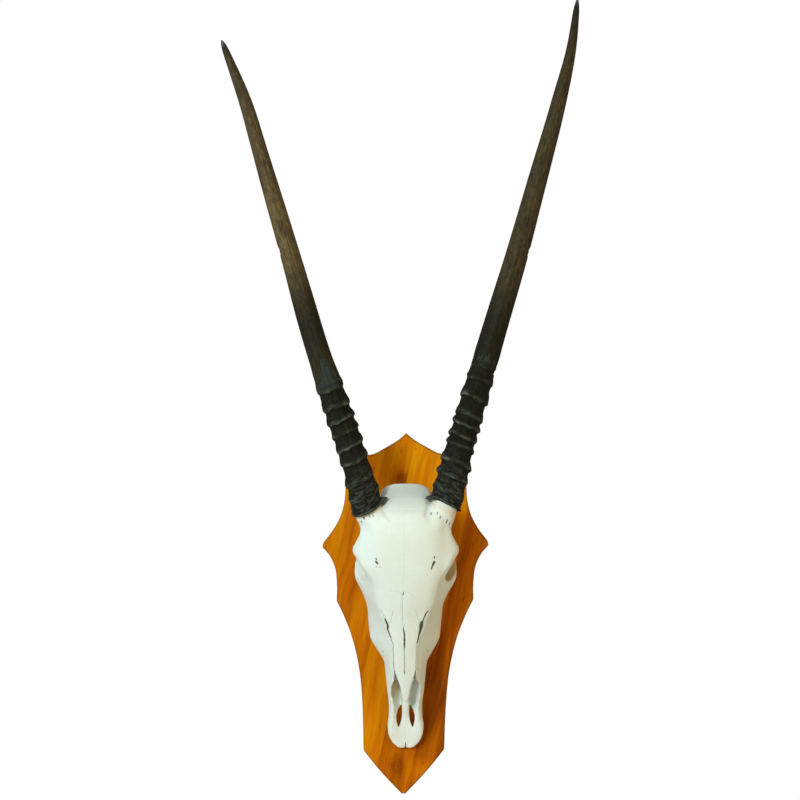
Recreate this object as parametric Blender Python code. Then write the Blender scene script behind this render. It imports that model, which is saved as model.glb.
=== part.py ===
"""A gemsbok's skull with both horns, fixed to a wooden wall shield.

Metres, +Z up. The shield's back face lies in the plane Y = 0 and the trophy faces -Y, with its left and right
as a viewer sees them. The tables below are in millimetres: z is the place up the board, x the distance from
the middle of the skull, and rise the distance in front of the board's front face.
"""

import math

import bmesh
import bpy
import numpy as np
from mathutils import Vector

MM = 0.001

# The shield.
BOARD_THICKNESS = 20.0
BOARD_EDGE_ROUND = 2.6
# Half of the outline, from the upper point down to the lower one: (x, z) for each stretch between corners.
BOARD_STRETCHES = (
    ((0.6, 172.5), (13.5, 162.0), (34.5, 149.6), (52.0, 141.0), (74.0, 139.5), (97.0, 142.0)),
    ((97.0, 142.0), (94.5, 107.0), (94.5, 76.0), (100.5, 48.0), (113.0, 24.0), (127.5, 4.5)),
    ((129.0, -1.5), (117.0, -16.0), (108.5, -36.0), (105.8, -62.0), (106.0, -83.0)),
    (
        (106.0, -85.5), (95.5, -107.0), (83.5, -137.0), (74.0, -172.0), (67.5, -212.0), (64.0, -265.0),
        (62.6, -316.0),
    ),
    ((61.8, -318.5), (44.0, -341.0), (26.0, -361.5), (3.0, -385.5)),
)

# The hand-sawn outline is out of square: sideways for each mm of height, and upwards for each mm across.
BOARD_SKEW = (0.008, 0.012)

# The skull's surface lines, each a list of (z, x, rise), from the tip of the nose up to the back of the head.
ROOF = (
    (-313, 0, 12), (-300, 0, 17), (-285, 0, 24), (-260, 0, 35), (-231, 0, 52), (-186, 0, 72), (-128, 0, 95),
    (-56, 0, 125), (-14, 0, 140), (35, 0, 151), (54, 0, 150), (65, 0, 144), (80, 0, 126), (99, 0, 93),
)
NASAL_EDGE = (
    (-313, 4, 12.5), (-300, 7, 16.5), (-285, 9, 23.5), (-260, 9, 34.5), (-231, 10, 50.5), (-186, 14.5, 70),
    (-128, 18, 93), (-56, 28, 122.5), (-14, 34, 138), (35, 35, 148), (55, 28, 147), (65, 25, 142), (80, 24, 124),
    (92, 21, 101), (99, 9, 93),
)
SHOULDER = (
    (-313, 7, 13), (-300, 14.5, 15.5), (-285, 21, 20), (-260, 20, 30), (-231, 19.5, 43), (-186, 24, 55),
    (-158, 27, 67), (-128, 31, 79), (-89, 40, 92), (-62, 49, 102), (-46, 52, 108), (-36, 56, 112), (-24, 65, 117),
    (-14, 71, 119), (-5, 74.5, 118), (4, 79, 115), (12, 73, 119), (25, 67.5, 124), (44, 66, 124), (55, 52, 121),
    (65, 38, 116), (75, 35.5, 103), (85, 35.5, 94), (92, 31, 88), (99, 14, 89),
)
CHEEK = (
    (-313, 9, 12), (-302, 18.5, 13.5), (-290, 24.6, 15), (-275, 27.8, 17), (-260, 25.8, 20), (-243, 26, 23),
    (-216, 28.8, 28), (-192, 31, 30), (-176, 32.6, 32), (-158, 42.4, 33), (-147, 49, 34.5), (-137, 53.8, 36),
    (-124, 55, 38), (-89, 58, 44), (-78, 61, 48), (-62, 67, 56), (-46, 74, 60), (-36, 77, 62), (-14, 76.5, 63),
    (4, 75, 66), (12, 54, 92), (25, 46, 97), (45, 43, 98), (65, 42, 94), (80, 42.5, 84), (90, 40, 68),
    (99, 16, 78),
)
TOOTH_LINE = (
    (-313, 7, 10), (-300, 14, 9), (-275, 22, 10.5), (-243, 21, 15), (-216, 22, 18), (-186, 26, 18), (-172, 31, 17.5),
    (-158, 39, 17.5), (-142, 48, 17.5), (-124, 51, 17.5), (-89, 53, 18), (-70, 54, 20), (-56, 56, 28),
    (-36, 60, 44), (-14, 63, 52), (4, 62, 56), (12, 46, 60), (25, 42, 56), (65, 44, 50), (80, 44, 46),
    (90, 38, 46), (99, 14, 64),
)
PALATE_EDGE = (
    (-313, 4, 10), (-300, 7, 8.5), (-275, 11, 10), (-243, 10, 14), (-216, 11, 17), (-186, 14, 21), (-165, 20, 23),
    (-142, 28, 23), (-89, 31, 23), (-62, 31, 26), (-36, 28, 36), (-14, 27, 44), (4, 26, 44), (25, 20, 40),
    (65, 15, 31), (88, 14, 29), (99, 8, 58),
)
FLOOR = (
    (-313, 0, 10), (-300, 0, 8), (-275, 0, 10), (-243, 0, 14.5), (-216, 0, 18), (-186, 0, 22), (-142, 0, 26),
    (-89, 0, 28), (-62, 0, 32), (-36, 0, 42), (-14, 0, 46), (25, 0, 40), (65, 0, 31), (88, 0, 29), (99, 0, 57),
)
SKULL_LINES = (ROOF, NASAL_EDGE, SHOULDER, CHEEK, TOOTH_LINE, PALATE_EDGE, FLOOR)
SKULL_SPACING = 4.0

# Rods of bone, each a list of (z, x, rise, radius).
CHEEK_ARCH = (
    (-58, 62, 52, 7), (-40, 72, 57, 7), (-20, 74, 59, 5.5), (5, 73, 60, 5.5), (25, 67, 61, 5), (42, 58, 60, 5.5),
    (62, 44, 58, 7),
)
EYE_BAR = ((1, 72, 114, 6), (5, 74.5, 104, 4.5), (7, 74.5, 86, 4), (5, 73, 62, 5))
BROW_EDGE = ((-40, 53, 110, 3), (-24, 62.5, 115, 3), (-12, 70, 117, 3), (3, 76, 115, 3.2))
NECK_CREST = ((72, 42, 68, 4), (84, 37, 80, 3), (93, 27, 87, 2.6), (98, 12, 91, 2.6), (99.2, 0, 91, 2.6))
NECK_SPUR = ((84, 38, 48, 7), (87, 37, 30, 5), (85, 35, 12, 2.5))
WING = ((-66, 25, 28, 4), (-44, 21, 32, 4.5), (-18, 18, 38, 4.5), (10, 18, 42, 4.5))
BROW_PEDICLE = ((18, 34, 108, 22), (40, 46, 114, 22.5), (54, 52.5, 118, 22.0))

# Egg shapes of bone: (z, x, rise) of the middle, then the half sizes along z, x and rise.
NECK_JOINT = ((87, 17, 32), (9, 11, 12))
EAR_BULB = ((58, 26, 30), (15, 9, 12))

# Hollows: egg shapes as above.
EYE_SOCKET = ((-17.5, 68, 88), (24.5, 36, 24))
TEMPLE = ((16, 56, 84), (24, 13, 21))
THROAT = ((-32, 0, 34), (26, 13, 16))
SPINE_HOLE = ((97, 0, 46), (20, 12, 10))

# The open nose: (z, half width, floor rise, roof rise).
NOSE_HOLLOW = (
    (-276, 6, 17, 50), (-268, 13, 17, 55), (-258, 18.5, 18, 60), (-245, 21.5, 19, 70), (-232, 22.7, 20, 80),
    (-222, 21.8, 22, 80), (-212, 18.5, 24, 80), (-200, 16.3, 26, 78), (-189, 14.5, 28, 66), (-165, 12, 34, 60),
)
# The nose bones over it: (z, half width, top rise, thickness).
NOSE_BONES = (
    (-233, 1.6, 51, 3.5), (-226, 5, 54.5, 4), (-219, 8.4, 58, 4.5), (-202, 12.3, 65.5, 5), (-190, 15, 70.5, 5.5),
    (-172, 15.5, 77, 8),
)
# The slots in the front of the palate, as (z, inner x, outer x), and the notch at the tip of the nose.
PALATE_SLOT = ((-243.5, 4.8, 6.4), (-250, 4.9, 10.6), (-259, 5.2, 13.6), (-268, 6.4, 13.0), (-278.5, 9.0, 10.4))
TIP_NOTCH = ((-320, 3.0), (-309, 1.3), (-302, 0.7))

# The horns: (z, x, rise) along the axis, from the rim at the skull to the tip.
HORN_AXES = {
    "left": (
        (67.0, -59.0, 124), (166.7, -84.3, 133), (297.5, -127.4, 143), (441.6, -169.6, 150), (585.7, -211.3, 152),
        (658.1, -233.0, 151), (730.5, -260.6, 150), (744.5, -266.4, 149.5),
    ),
    "right": (
        (72.9, 55.8, 124), (166.6, 81.9, 129), (297.9, 120.5, 130), (444.1, 163.8, 127), (591.7, 205.6, 118),
        (666.3, 225.4, 112), (741.6, 243.9, 105), (819.5, 254.6, 98),
    ),
}
# The horns' radii and the rings round their lower parts, at shares of their lengths.
HORN_RADII = {
    "left": (
        (0.0, 23.4), (0.05, 20.8), (0.15, 19.6), (0.26, 19.4), (0.32, 17.2), (0.45, 15.8), (0.6, 13.6), (0.8, 10.5),
        (0.9, 8.0), (0.955, 5.2), (0.985, 2.9), (1.0, 1.3),
    ),
    "right": (
        (0.0, 23.4), (0.05, 21.2), (0.15, 20.2), (0.26, 19.8), (0.32, 18.6), (0.45, 17.2), (0.6, 14.6), (0.8, 10.9),
        (0.9, 7.2), (0.955, 4.8), (0.985, 2.9), (1.0, 1.3),
    ),
}
RING_PLACES = {
    "left": (0.035, 0.068, 0.1, 0.134, 0.158, 0.186, 0.21, 0.247),
    "right": (0.03, 0.073, 0.1, 0.132, 0.151, 0.175, 0.197, 0.222, 0.245),
}
RING_RISE = 1.5
RING_WIDTH = 6.0
# How far the rings' planes dip towards the front and towards the outer side.
RING_DIP = {"left": (5.0, 6.0), "right": (-5.0, 6.0)}
HORN_SIDES = 12
RING_STEP = 7.5
HORN_MOUTH = 20.8
HORN_GAP = 0.5
SOCKET_DEPTH = 75.0
SOCKET_LEVEL = 60.0
CORE_RADII = ((-16.0, 21.5), (-6.0, 19.8), (4.0, 18.4), (25.0, 15.8), (50.0, 11.5), (66.0, 6.5))

# The cheek teeth, from the front: (z of the middle, x of the middle, length, width).
TEETH = (
    (-163.0, 31.0, 13.0, 9.5), (-148.5, 37.5, 14.5, 11.5), (-132.5, 43.0, 15.5, 13.5),
    (-114.0, 45.4, 19.5, 15.0), (-92.0, 46.0, 22.5, 15.5), (-68.5, 46.0, 22.5, 14.5),
)
TOOTH_LEVELS = ((0.4, 0.93), (1.6, 1.0), (20.5, 1.0))
TOOTH_SPACE = 0.5
TOOTH_GAP = 0.6

# Fixings.
SKULL_SCREWS = {"skull_screw_upper": (40.0, 50.0), "skull_screw_lower": (-112.0, 34.0)}
SCREW_SHANK_RADIUS = 2.1
SCREW_HEAD_RADIUS = 4.4
SCREW_HEAD_HEIGHT = 2.8
SCREW_CLEARANCE = 0.35
SCREW_SLOT = (1.0, 0.8)
HANGER_Z = 84.0
HANGER_SIZE = (46.0, 22.0, 1.6)
HANGER_POCKET = (22.0, 17.0, 11.0)
HANGER_CORNER = 4.0
HANGER_SCREW_SPREAD = 16.5
HANGER_SCREW_RADIUS = 1.3
HANGER_SCREW_END = 15.0
HANGER_HOLE_RADIUS = 1.7
PLATE_SINK = 2.1
RECESS_GAP = 0.4
KEYHOLE_RADIUS = 5.0
KEYHOLE_SLOT = 2.6
KEYHOLE_RISE = 6.5

BONE_VOXEL = 2.2
BONE_TRIANGLES = 3950


def place(z, x, rise):
    """A point of the tables as a Blender vector in metres."""
    return Vector((float(x) * MM, -(BOARD_THICKNESS + float(rise)) * MM, float(z) * MM))


def smooth_line(knots, spots):
    """Each column of the knots after the first, read at the given values of the first, with no overshoot."""
    table = np.array(knots, float)
    at, values = table[:, 0], table[:, 1:]
    steps = np.diff(at)[:, None]
    slopes = np.diff(values, axis=0) / steps
    turns = slopes[:-1] * slopes[1:] <= 0
    weight = (2 * steps[1:] + steps[:-1], steps[1:] + 2 * steps[:-1])
    with np.errstate(divide="ignore", invalid="ignore"):
        inner = (weight[0] + weight[1]) / (weight[0] / slopes[:-1] + weight[1] / slopes[1:])
    tangents = np.vstack([slopes[:1], np.where(turns, 0.0, inner), slopes[-1:]])
    spots = np.clip(np.asarray(spots, float), at[0], at[-1])
    cell = np.clip(np.searchsorted(at, spots, side="right") - 1, 0, len(at) - 2)
    share = ((spots - at[cell]) / (at[cell + 1] - at[cell]))[:, None]
    width = steps[cell]
    return (
        (1 + 2 * share) * (1 - share) ** 2 * values[cell]
        + share * (1 - share) ** 2 * width * tangents[cell]
        + share**2 * (3 - 2 * share) * values[cell + 1]
        + share**2 * (share - 1) * width * tangents[cell + 1]
    )


def curve_through(points, pieces, closed=False):
    """Points along a smooth curve through the given ones, with so many pieces between each two."""
    points = np.array(points, float)
    if closed:
        points = np.vstack([points[-1:], points, points[:2]])
    else:
        points = np.vstack([2 * points[0] - points[1], points, 2 * points[-1] - points[-2]])
    found = []
    for before, start, end, after in zip(points, points[1:], points[2:], points[3:]):
        for step in range(pieces):
            t = step / pieces
            found.append(
                0.5 * (2 * start + (end - before) * t + (2 * before - 5 * start + 4 * end - after) * t**2
                       + (3 * start - before - 3 * end + after) * t**3)
            )
    if not closed:
        found.append(points[-2])
    return np.array(found)


def loft(work, rings):
    """Joins rings of as many points into one closed skin, with a cap on each end."""
    rows = [[work.verts.new(point) for point in ring] for ring in rings]
    count = len(rows[0])
    for low, high in zip(rows, rows[1:]):
        for i in range(count):
            j = (i + 1) % count
            work.faces.new((low[i], low[j], high[j], high[i]))
    work.faces.new(list(reversed(rows[0])))
    work.faces.new(rows[-1])


def sweep(work, path, side, sides=12):
    """A round rod along a path of (z, x, rise, radius), on the side that the sign of x gives."""
    knots = curve_through(path, 5)
    centres = [place(z, side * x, rise) for z, x, rise, _ in knots]
    rings = []
    for i, centre in enumerate(centres):
        along = (centres[min(i + 1, len(centres) - 1)] - centres[max(i - 1, 0)]).normalized()
        across = along.cross(Vector((0, 1, 0)) if abs(along.y) < 0.8 else Vector((1, 0, 0))).normalized()
        up = across.cross(along)
        radius = float(knots[i][3]) * MM
        turns = [2 * math.pi * k / sides for k in range(sides)]
        rings.append([centre + radius * (math.cos(t) * across + math.sin(t) * up) for t in turns])
    loft(work, rings)


def egg(work, shape, side, rings=12, sides=20):
    """A closed egg with its middle and half sizes given as (z, x, rise)."""
    (z, x, rise), (half_z, half_x, half_rise) = shape
    made = bmesh.ops.create_uvsphere(work, u_segments=sides, v_segments=rings, radius=1.0)
    middle = place(z, side * x, rise)
    for vert in made["verts"]:
        stretch = (vert.co.x * half_x, vert.co.y * half_rise, vert.co.z * half_z)
        vert.co = middle + MM * Vector(stretch)


def finished(name, work, material=None):
    """Turns a bmesh into an object whose faces point outwards."""
    bmesh.ops.recalc_face_normals(work, faces=work.faces)
    mesh = bpy.data.meshes.new(name)
    work.to_mesh(mesh)
    work.free()
    made = bpy.data.objects.new(name, mesh)
    bpy.context.scene.collection.objects.link(made)
    if material:
        mesh.materials.append(material)
    return made


def helper(name, work):
    """A shape that only cuts or joins others."""
    made = finished(name, work)
    made.hide_render = True
    made.display_type = "WIRE"
    return made


def boolean(target, tool, operation="DIFFERENCE", solver="EXACT"):
    modifier = target.modifiers.new(tool.name, "BOOLEAN")
    modifier.operation = operation
    modifier.solver = solver
    modifier.object = tool


def voxels(target, size):
    modifier = target.modifiers.new("voxels", "REMESH")
    modifier.mode = "VOXEL"
    modifier.voxel_size = size * MM
    modifier.use_smooth_shade = True


def smoothed(target, turns):
    modifier = target.modifiers.new("smooth", "SMOOTH")
    modifier.factor = 0.5
    modifier.iterations = turns


def baked(target):
    """Applies the modifiers, so that the next step can measure the mesh."""
    graph = bpy.context.evaluated_depsgraph_get()
    mesh = bpy.data.meshes.new_from_object(target.evaluated_get(graph))
    target.modifiers.clear()
    target.data = mesh


def surface(name, colour, roughness, metallic=0.0):
    material = bpy.data.materials.new(name)
    material.use_nodes = True
    shader = material.node_tree.nodes["Principled BSDF"]
    shader.inputs["Base Color"].default_value = (*colour, 1.0)
    shader.inputs["Roughness"].default_value = roughness
    shader.inputs["Metallic"].default_value = metallic
    return material


def board_outline():
    """The shield's outline as (x, z), once round."""
    half = []
    for stretch in BOARD_STRETCHES:
        points = [tuple(point) for point in curve_through(stretch, 2)]
        half += points[1:] if half and half[-1] == points[0] else points
    around = half + [(-x, z) for x, z in half[::-1]]
    return [(x + BOARD_SKEW[0] * z, z + BOARD_SKEW[1] * x) for x, z in around]


def board(material):
    work = bmesh.new()
    back = [work.verts.new((x * MM, 0.0, z * MM)) for x, z in board_outline()]
    face = work.faces.new(back)
    grown = bmesh.ops.extrude_face_region(work, geom=[face])["geom"]
    front = [part for part in grown if isinstance(part, bmesh.types.BMVert)]
    bmesh.ops.translate(work, verts=front, vec=(0.0, -BOARD_THICKNESS * MM, 0.0))
    edges = [edge for edge in work.edges if all(vert in front for vert in edge.verts)]
    bmesh.ops.bevel(work, geom=edges, offset=BOARD_EDGE_ROUND * MM, segments=1, profile=0.5, affect="EDGES")
    made = finished("plaque", work, material)
    recess = block_cut(HANGER_SIZE, SCREW_CLEARANCE, PLATE_SINK + RECESS_GAP)
    boolean(made, helper("hanger_recess", recess))
    boolean(made, helper("hanger_pocket", block_cut(HANGER_POCKET, 0.0, 0.0)))
    for spread in (-1, 1):
        tool = bmesh.new()
        turned_cut(tool, spread * HANGER_SCREW_SPREAD, HANGER_Z, pilot_profile())
        boolean(made, helper(f"hanger_pilot_{spread}", tool))
    for name, (z, _) in SKULL_SCREWS.items():
        tool = bmesh.new()
        turned_cut(tool, 0.0, z, skull_screw_profile(BOARD_THICKNESS + 2.0, SCREW_CLEARANCE, through=True))
        boolean(made, helper(f"{name}_bore", tool))
    return made


def block_cut(size, room, sink):
    """A box let into the board's back at the hanger, with room round it and at its bottom."""
    wide, tall, deep = size
    work = bmesh.new()
    bmesh.ops.create_cube(work, size=1.0)
    for vert in work.verts:
        low = -(deep + sink) if vert.co.y < 0 else 5.0
        vert.co = MM * Vector((vert.co.x * (wide + 2 * room), low, HANGER_Z + vert.co.z * (tall + 2 * room)))
    return work


def turned_cut(work, x, z, profile, sides=12):
    """A round shape about an axis that runs into the board's back: the profile is (depth, radius)."""
    rings = []
    for depth, radius in profile:
        turns = [2 * math.pi * k / sides for k in range(sides)]
        rings.append(
            [MM * Vector((x + radius * math.cos(t), -depth, z + radius * math.sin(t))) for t in turns]
        )
    loft(work, rings)


def skull_screw_profile(length, room=0.0, through=False):
    """The wood screw from its head, countersunk 1 mm under the back face, to its end."""
    start = -3.0 if through else 1.0
    return (
        (start, SCREW_HEAD_RADIUS + room),
        (1.0 + SCREW_HEAD_HEIGHT * 0.25 + room, SCREW_HEAD_RADIUS + room),
        (1.0 + SCREW_HEAD_HEIGHT + room, SCREW_SHANK_RADIUS + room),
        (length, SCREW_SHANK_RADIUS + room),
    )


def hanger_screw_profile():
    """A short screw whose domed head covers the plate's hole and stays under the board's back face."""
    seat = PLATE_SINK - RECESS_GAP
    shank = HANGER_SCREW_RADIUS
    return ((seat - 1.4, 1.5), (seat - 1.0, 2.5), (seat, 3.0), (seat, shank), (HANGER_SCREW_END, shank))


def pilot_profile():
    """The hole in the board for a hanger screw."""
    radius = HANGER_SCREW_RADIUS + SCREW_CLEARANCE
    return ((-3.0, radius), (HANGER_SCREW_END + SCREW_CLEARANCE, radius))


def screw(name, x, z, profile, material):
    """A turned screw with a slot in its head."""
    work = bmesh.new()
    turned_cut(work, x, z, profile)
    made = finished(name, work, material)
    tool = bmesh.new()
    bmesh.ops.create_cube(tool, size=1.0)
    for vert in tool.verts:
        depth = profile[0][0] + (SCREW_SLOT[1] if vert.co.y < 0 else -2.0)
        vert.co = MM * Vector((x + vert.co.x * 4 * SCREW_HEAD_RADIUS, -depth, z + vert.co.z * SCREW_SLOT[0]))
    boolean(made, helper(f"{name}_slot", tool))


def hanger(plate_material, screw_material):
    """The keyhole plate, let into the board's back, with its two screws."""
    wide, tall, thick = HANGER_SIZE
    half_wide, half_tall = wide / 2 - HANGER_CORNER, tall / 2 - HANGER_CORNER
    outer = []
    for turn, (right, up) in enumerate(((1, 1), (-1, 1), (-1, -1), (1, -1))):
        middle = (right * half_wide, HANGER_Z + up * half_tall)
        outer += arc(middle, HANGER_CORNER, turn * math.pi / 2, (turn + 1) * math.pi / 2, 2)
    loops = [outer, keyhole()]
    for spread in (-1, 1):
        middle = (spread * HANGER_SCREW_SPREAD, HANGER_Z)
        loops.append(arc(middle, HANGER_HOLE_RADIUS, 0.0, 2 * math.pi, 8)[:-1])
    work = bmesh.new()
    edges = []
    for loop in loops:
        verts = [work.verts.new((x * MM, -(PLATE_SINK + thick) * MM, z * MM)) for x, z in loop]
        edges += [work.edges.new((a, b)) for a, b in zip(verts, verts[1:] + verts[:1])]
    bmesh.ops.triangle_fill(work, edges=edges, use_beauty=True)
    grown = bmesh.ops.extrude_face_region(work, geom=list(work.faces))["geom"]
    back = [part for part in grown if isinstance(part, bmesh.types.BMVert)]
    bmesh.ops.translate(work, verts=back, vec=(0.0, thick * MM, 0.0))
    made = finished("hanger_plate", work, plate_material)
    for name, spread in (("hanger_screw_left", -1), ("hanger_screw_right", 1)):
        screw(name, spread * HANGER_SCREW_SPREAD, HANGER_Z, hanger_screw_profile(), screw_material)
    return made


def arc(middle, radius, start, end, pieces):
    """Points (x, z) along an arc."""
    turns = [start + (end - start) * k / pieces for k in range(pieces + 1)]
    return [(middle[0] + radius * math.cos(t), middle[1] + radius * math.sin(t)) for t in turns]


def keyhole():
    """The hole for a wall screw's head, with the narrow slot above it, as (x, z)."""
    low = HANGER_Z - 2.5
    reach = math.asin(KEYHOLE_SLOT / KEYHOLE_RADIUS)
    wide = arc((0.0, low), KEYHOLE_RADIUS, math.pi / 2 + reach, 5 * math.pi / 2 - reach, 10)
    return wide + arc((0.0, low + KEYHOLE_RISE), KEYHOLE_SLOT, 0.0, math.pi, 6)


def skull_body(work):
    """The skull's main mass, lofted through its surface lines."""
    stations = np.arange(ROOF[0][0], ROOF[-1][0] + 0.1, SKULL_SPACING)
    stations = np.append(stations, ROOF[-1][0]) if stations[-1] < ROOF[-1][0] else stations
    lines = [smooth_line(line, stations) for line in SKULL_LINES]
    rings = []
    for i, z in enumerate(stations):
        right = [line[i] for line in lines]
        left = [(-x, rise) for x, rise in right[-2:0:-1]]
        section = curve_through([tuple(point) for point in right] + left, 4, closed=True)
        rings.append([place(z, x, rise) for x, rise in section])
    loft(work, rings)


def horn_frames(side, spots):
    """The horn's axis point, its direction and the two directions across it, at shares of its length."""
    path = curve_through(HORN_AXES[side], 24)
    lengths = np.append(0.0, np.cumsum(np.linalg.norm(np.diff(path, axis=0), axis=1)))
    frames = []
    for spot in spots:
        near = [np.interp(lengths[-1] * s, lengths, path[:, c]) for s in (spot,) for c in range(3)]
        ahead = [np.interp(lengths[-1] * min(spot + 0.01, 1), lengths, path[:, c]) for c in range(3)]
        behind = [np.interp(lengths[-1] * max(spot - 0.01, 0), lengths, path[:, c]) for c in range(3)]
        along = (place(*ahead) - place(*behind)).normalized()
        sign = -1 if side == "left" else 1
        out = (Vector((sign, 0, 0)) - along * along.x * sign).normalized()
        front = Vector((0, -1, 0)) - along * Vector((0, -1, 0)).dot(along)
        front = (front - out * front.dot(out)).normalized()
        frames.append((place(*near), along, out, front))
    return frames, lengths[-1]


def ring_wave(side, distance, length):
    """How far the horn's surface stands out at a distance up from the rim."""
    rise = 0.0
    for share in RING_PLACES[side]:
        gap = (distance - share * length) / RING_WIDTH
        rise += RING_RISE * math.exp(-gap * gap)
    fade = np.clip((0.30 - distance / length) / 0.08, 0.0, 1.0)
    return fade * rise


def tilted_ring(frame, radius, tilt, side):
    """One ring of a horn, round its axis, dipping by a share of the rings' full dip."""
    centre, along, out, front = frame
    dip_front, dip_out = RING_DIP[side]
    ring = []
    for k in range(HORN_SIDES):
        turn = 2 * math.pi * k / HORN_SIDES
        slip = -float(tilt) * (dip_front * math.sin(turn) + dip_out * math.cos(turn))
        ring.append(centre + MM * (float(radius) * (math.cos(turn) * out + math.sin(turn) * front) + slip * along))
    return ring


def horn_shell(work, side, room=0.0):
    """The horn sheath: ringed at its base, smooth above, with the socket for the bony core. Room thickens it."""
    length = horn_frames(side, (0.0,))[1]
    spots = [s / length for s in np.arange(0.0, 0.27 * length, RING_STEP)] + list(np.linspace(0.29, 1.0, 15))
    frames = horn_frames(side, spots)[0]
    radii = smooth_line(HORN_RADII[side], spots)[:, 0]
    rings = []
    for spot, radius, frame in zip(spots, radii, frames):
        grown = radius + room + ring_wave(side, spot * length, length)
        rings.append(tilted_ring(frame, grown, max(0.0, 1.0 - spot / 0.3), side))
    centre, along, out, front = frames[0]
    rings[0] = [point - room * MM * along for point in rings[0]]
    socket = []
    for depth, radius in socket_profile():
        frame = (centre + (depth - room) * MM * along, along, out, front)
        socket.append(tilted_ring(frame, radius - room, max(0.0, 1.0 - depth / SOCKET_LEVEL), side))
    loft(work, socket[::-1] + rings)


def horn(side, material):
    work = bmesh.new()
    horn_shell(work, side)
    made = finished(f"horn_{side}", work, material)
    made.data.shade_smooth()


def horn_room():
    """The room that the skull leaves for both sheaths."""
    work = bmesh.new()
    for side in HORN_AXES:
        horn_shell(work, side, room=HORN_GAP)
    return helper("horn_room", work)


def socket_profile():
    """The socket inside the sheath, as (depth, radius) from the rim."""
    mouth = HORN_MOUTH
    return ((0.0, mouth), (25.0, mouth - 3.0), (50.0, mouth - 7.0), (SOCKET_DEPTH, 8.0))


def horn_core(work, side):
    """The bony stub in the sheath, in line with the horn's axis at the rim."""
    frames, _ = horn_frames(side, (0.0,))
    centre, along, out, front = frames[0]
    turns = [2 * math.pi * k / 20 for k in range(20)]
    rings = []
    for depth, radius in curve_through(CORE_RADII, 3):
        middle = centre + float(depth) * MM * along
        wide = float(radius) * MM
        rings.append([middle + wide * (math.cos(t) * out + math.sin(t) * front) for t in turns])
    loft(work, rings)


def pedicle(work, side):
    """The swelling of the brow that carries the horn core, up to the horn's rim."""
    sign = -1 if side == "left" else 1
    z, x, rise = HORN_AXES[side][0]
    sweep(work, BROW_PEDICLE + ((z - 7.0, abs(x) - 1.8, rise - 0.6, 20.5),), sign, sides=20)


def nose_hollow():
    """The open nose: wide and open above in front, and closed over further back."""
    work = bmesh.new()
    rings = []
    for z, wide, low, high in NOSE_HOLLOW:
        ring = []
        for k in range(20):
            t = 2 * math.pi * k / 20
            squared = (abs(math.cos(t)) ** 0.7 * math.copysign(1, math.cos(t)), math.sin(t))
            ring.append(place(z, wide * squared[0], (low + high) / 2 + (high - low) / 2 * squared[1]))
        rings.append(ring)
    loft(work, rings)
    return helper("nose_hollow", work)


def nose_bones():
    """The two nose bones, which run out to a point over the open nose."""
    work = bmesh.new()
    rings = []
    spots = np.linspace(NOSE_BONES[0][0], NOSE_BONES[-1][0], 16)
    for z, (wide, top, thick) in zip(spots, smooth_line(NOSE_BONES, spots)):
        outline = [(wide * u, top - 0.16 * wide * u * u) for u in np.linspace(-1, 1, 9)]
        outline += [(wide * u, top - thick - 0.16 * wide * u * u) for u in np.linspace(1, -1, 9)]
        rings.append([place(z, x, rise) for x, rise in outline])
    loft(work, rings)
    return helper("nose_bones", work)


def front_slots():
    """The two slots in the front of the palate and the notch at the tip, which go right through."""
    work = bmesh.new()
    for side in (-1, 1):
        inner = [(z, side * low) for z, low, _ in PALATE_SLOT]
        outer = [(z, side * high) for z, _, high in PALATE_SLOT[::-1]]
        loft(work, [[place(z, x, rise) for z, x in inner + outer] for rise in (0.0, 22.0)])
    notch = [(z, half) for z, half in TIP_NOTCH] + [(z, -half) for z, half in TIP_NOTCH[::-1]]
    loft(work, [[place(z, x, rise) for z, x in notch] for rise in (2.0, 30.0)])
    return helper("front_slots", work)


def hollows():
    """The eye sockets and temples, joined to each other on each side, and the throat and spine holes."""
    made = []
    for name, shape in (("eye_sockets", EYE_SOCKET), ("temples", TEMPLE)):
        work = bmesh.new()
        for side in (-1, 1):
            egg(work, shape, side)
        made.append(helper(name, work))
    work = bmesh.new()
    egg(work, THROAT, 0)
    egg(work, SPINE_HOLE, 0)
    made.append(helper("throat_and_spine", work))
    return made


def tooth_outline(length, width):
    """A cheek tooth seen on its chewing side, with two lobes towards the cheek, as (along, across)."""
    points = (
        (-0.5, -0.34), (-0.36, -0.5), (0.0, -0.42), (0.36, -0.5), (0.5, -0.34),
        (0.5, 0.3), (0.34, 0.5), (0.12, 0.46), (0.0, 0.3), (-0.12, 0.46), (-0.34, 0.5), (-0.5, 0.3),
    )
    return [(u * length, v * width) for u, v in points]


def tooth(work, side, number, levels, room=0.0):
    """A tooth through the given levels of (rise, share of its full size)."""
    z, x, length, width = TEETH[number]
    rings = []
    for rise, share in levels:
        outline = tooth_outline(length * share - TOOTH_SPACE + 2 * room, width * share + 2 * room)
        rings.append([place(z + along, side * (x + across), rise) for along, across in outline])
    loft(work, rings)


def teeth(material):
    for side, name in ((-1, "left"), (1, "right")):
        for number in range(len(TEETH)):
            work = bmesh.new()
            tooth(work, side, number, TOOTH_LEVELS)
            finished(f"tooth_{name}_{number + 1}", work, material)


def tooth_sockets():
    work = bmesh.new()
    for side in (-1, 1):
        for number in range(len(TEETH)):
            tooth(work, side, number, ((-5.0, 1.0), (TOOTH_LEVELS[-1][0] + TOOTH_GAP, 1.0)), room=TOOTH_GAP)
    return helper("tooth_sockets", work)


def screw_bores():
    work = bmesh.new()
    for z, end in SKULL_SCREWS.values():
        radius = SCREW_SHANK_RADIUS + SCREW_CLEARANCE
        turned_cut(work, 0.0, z, ((10.0, radius), (BOARD_THICKNESS + end + SCREW_CLEARANCE, radius)), sides=12)
    return helper("screw_bores", work)


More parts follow.
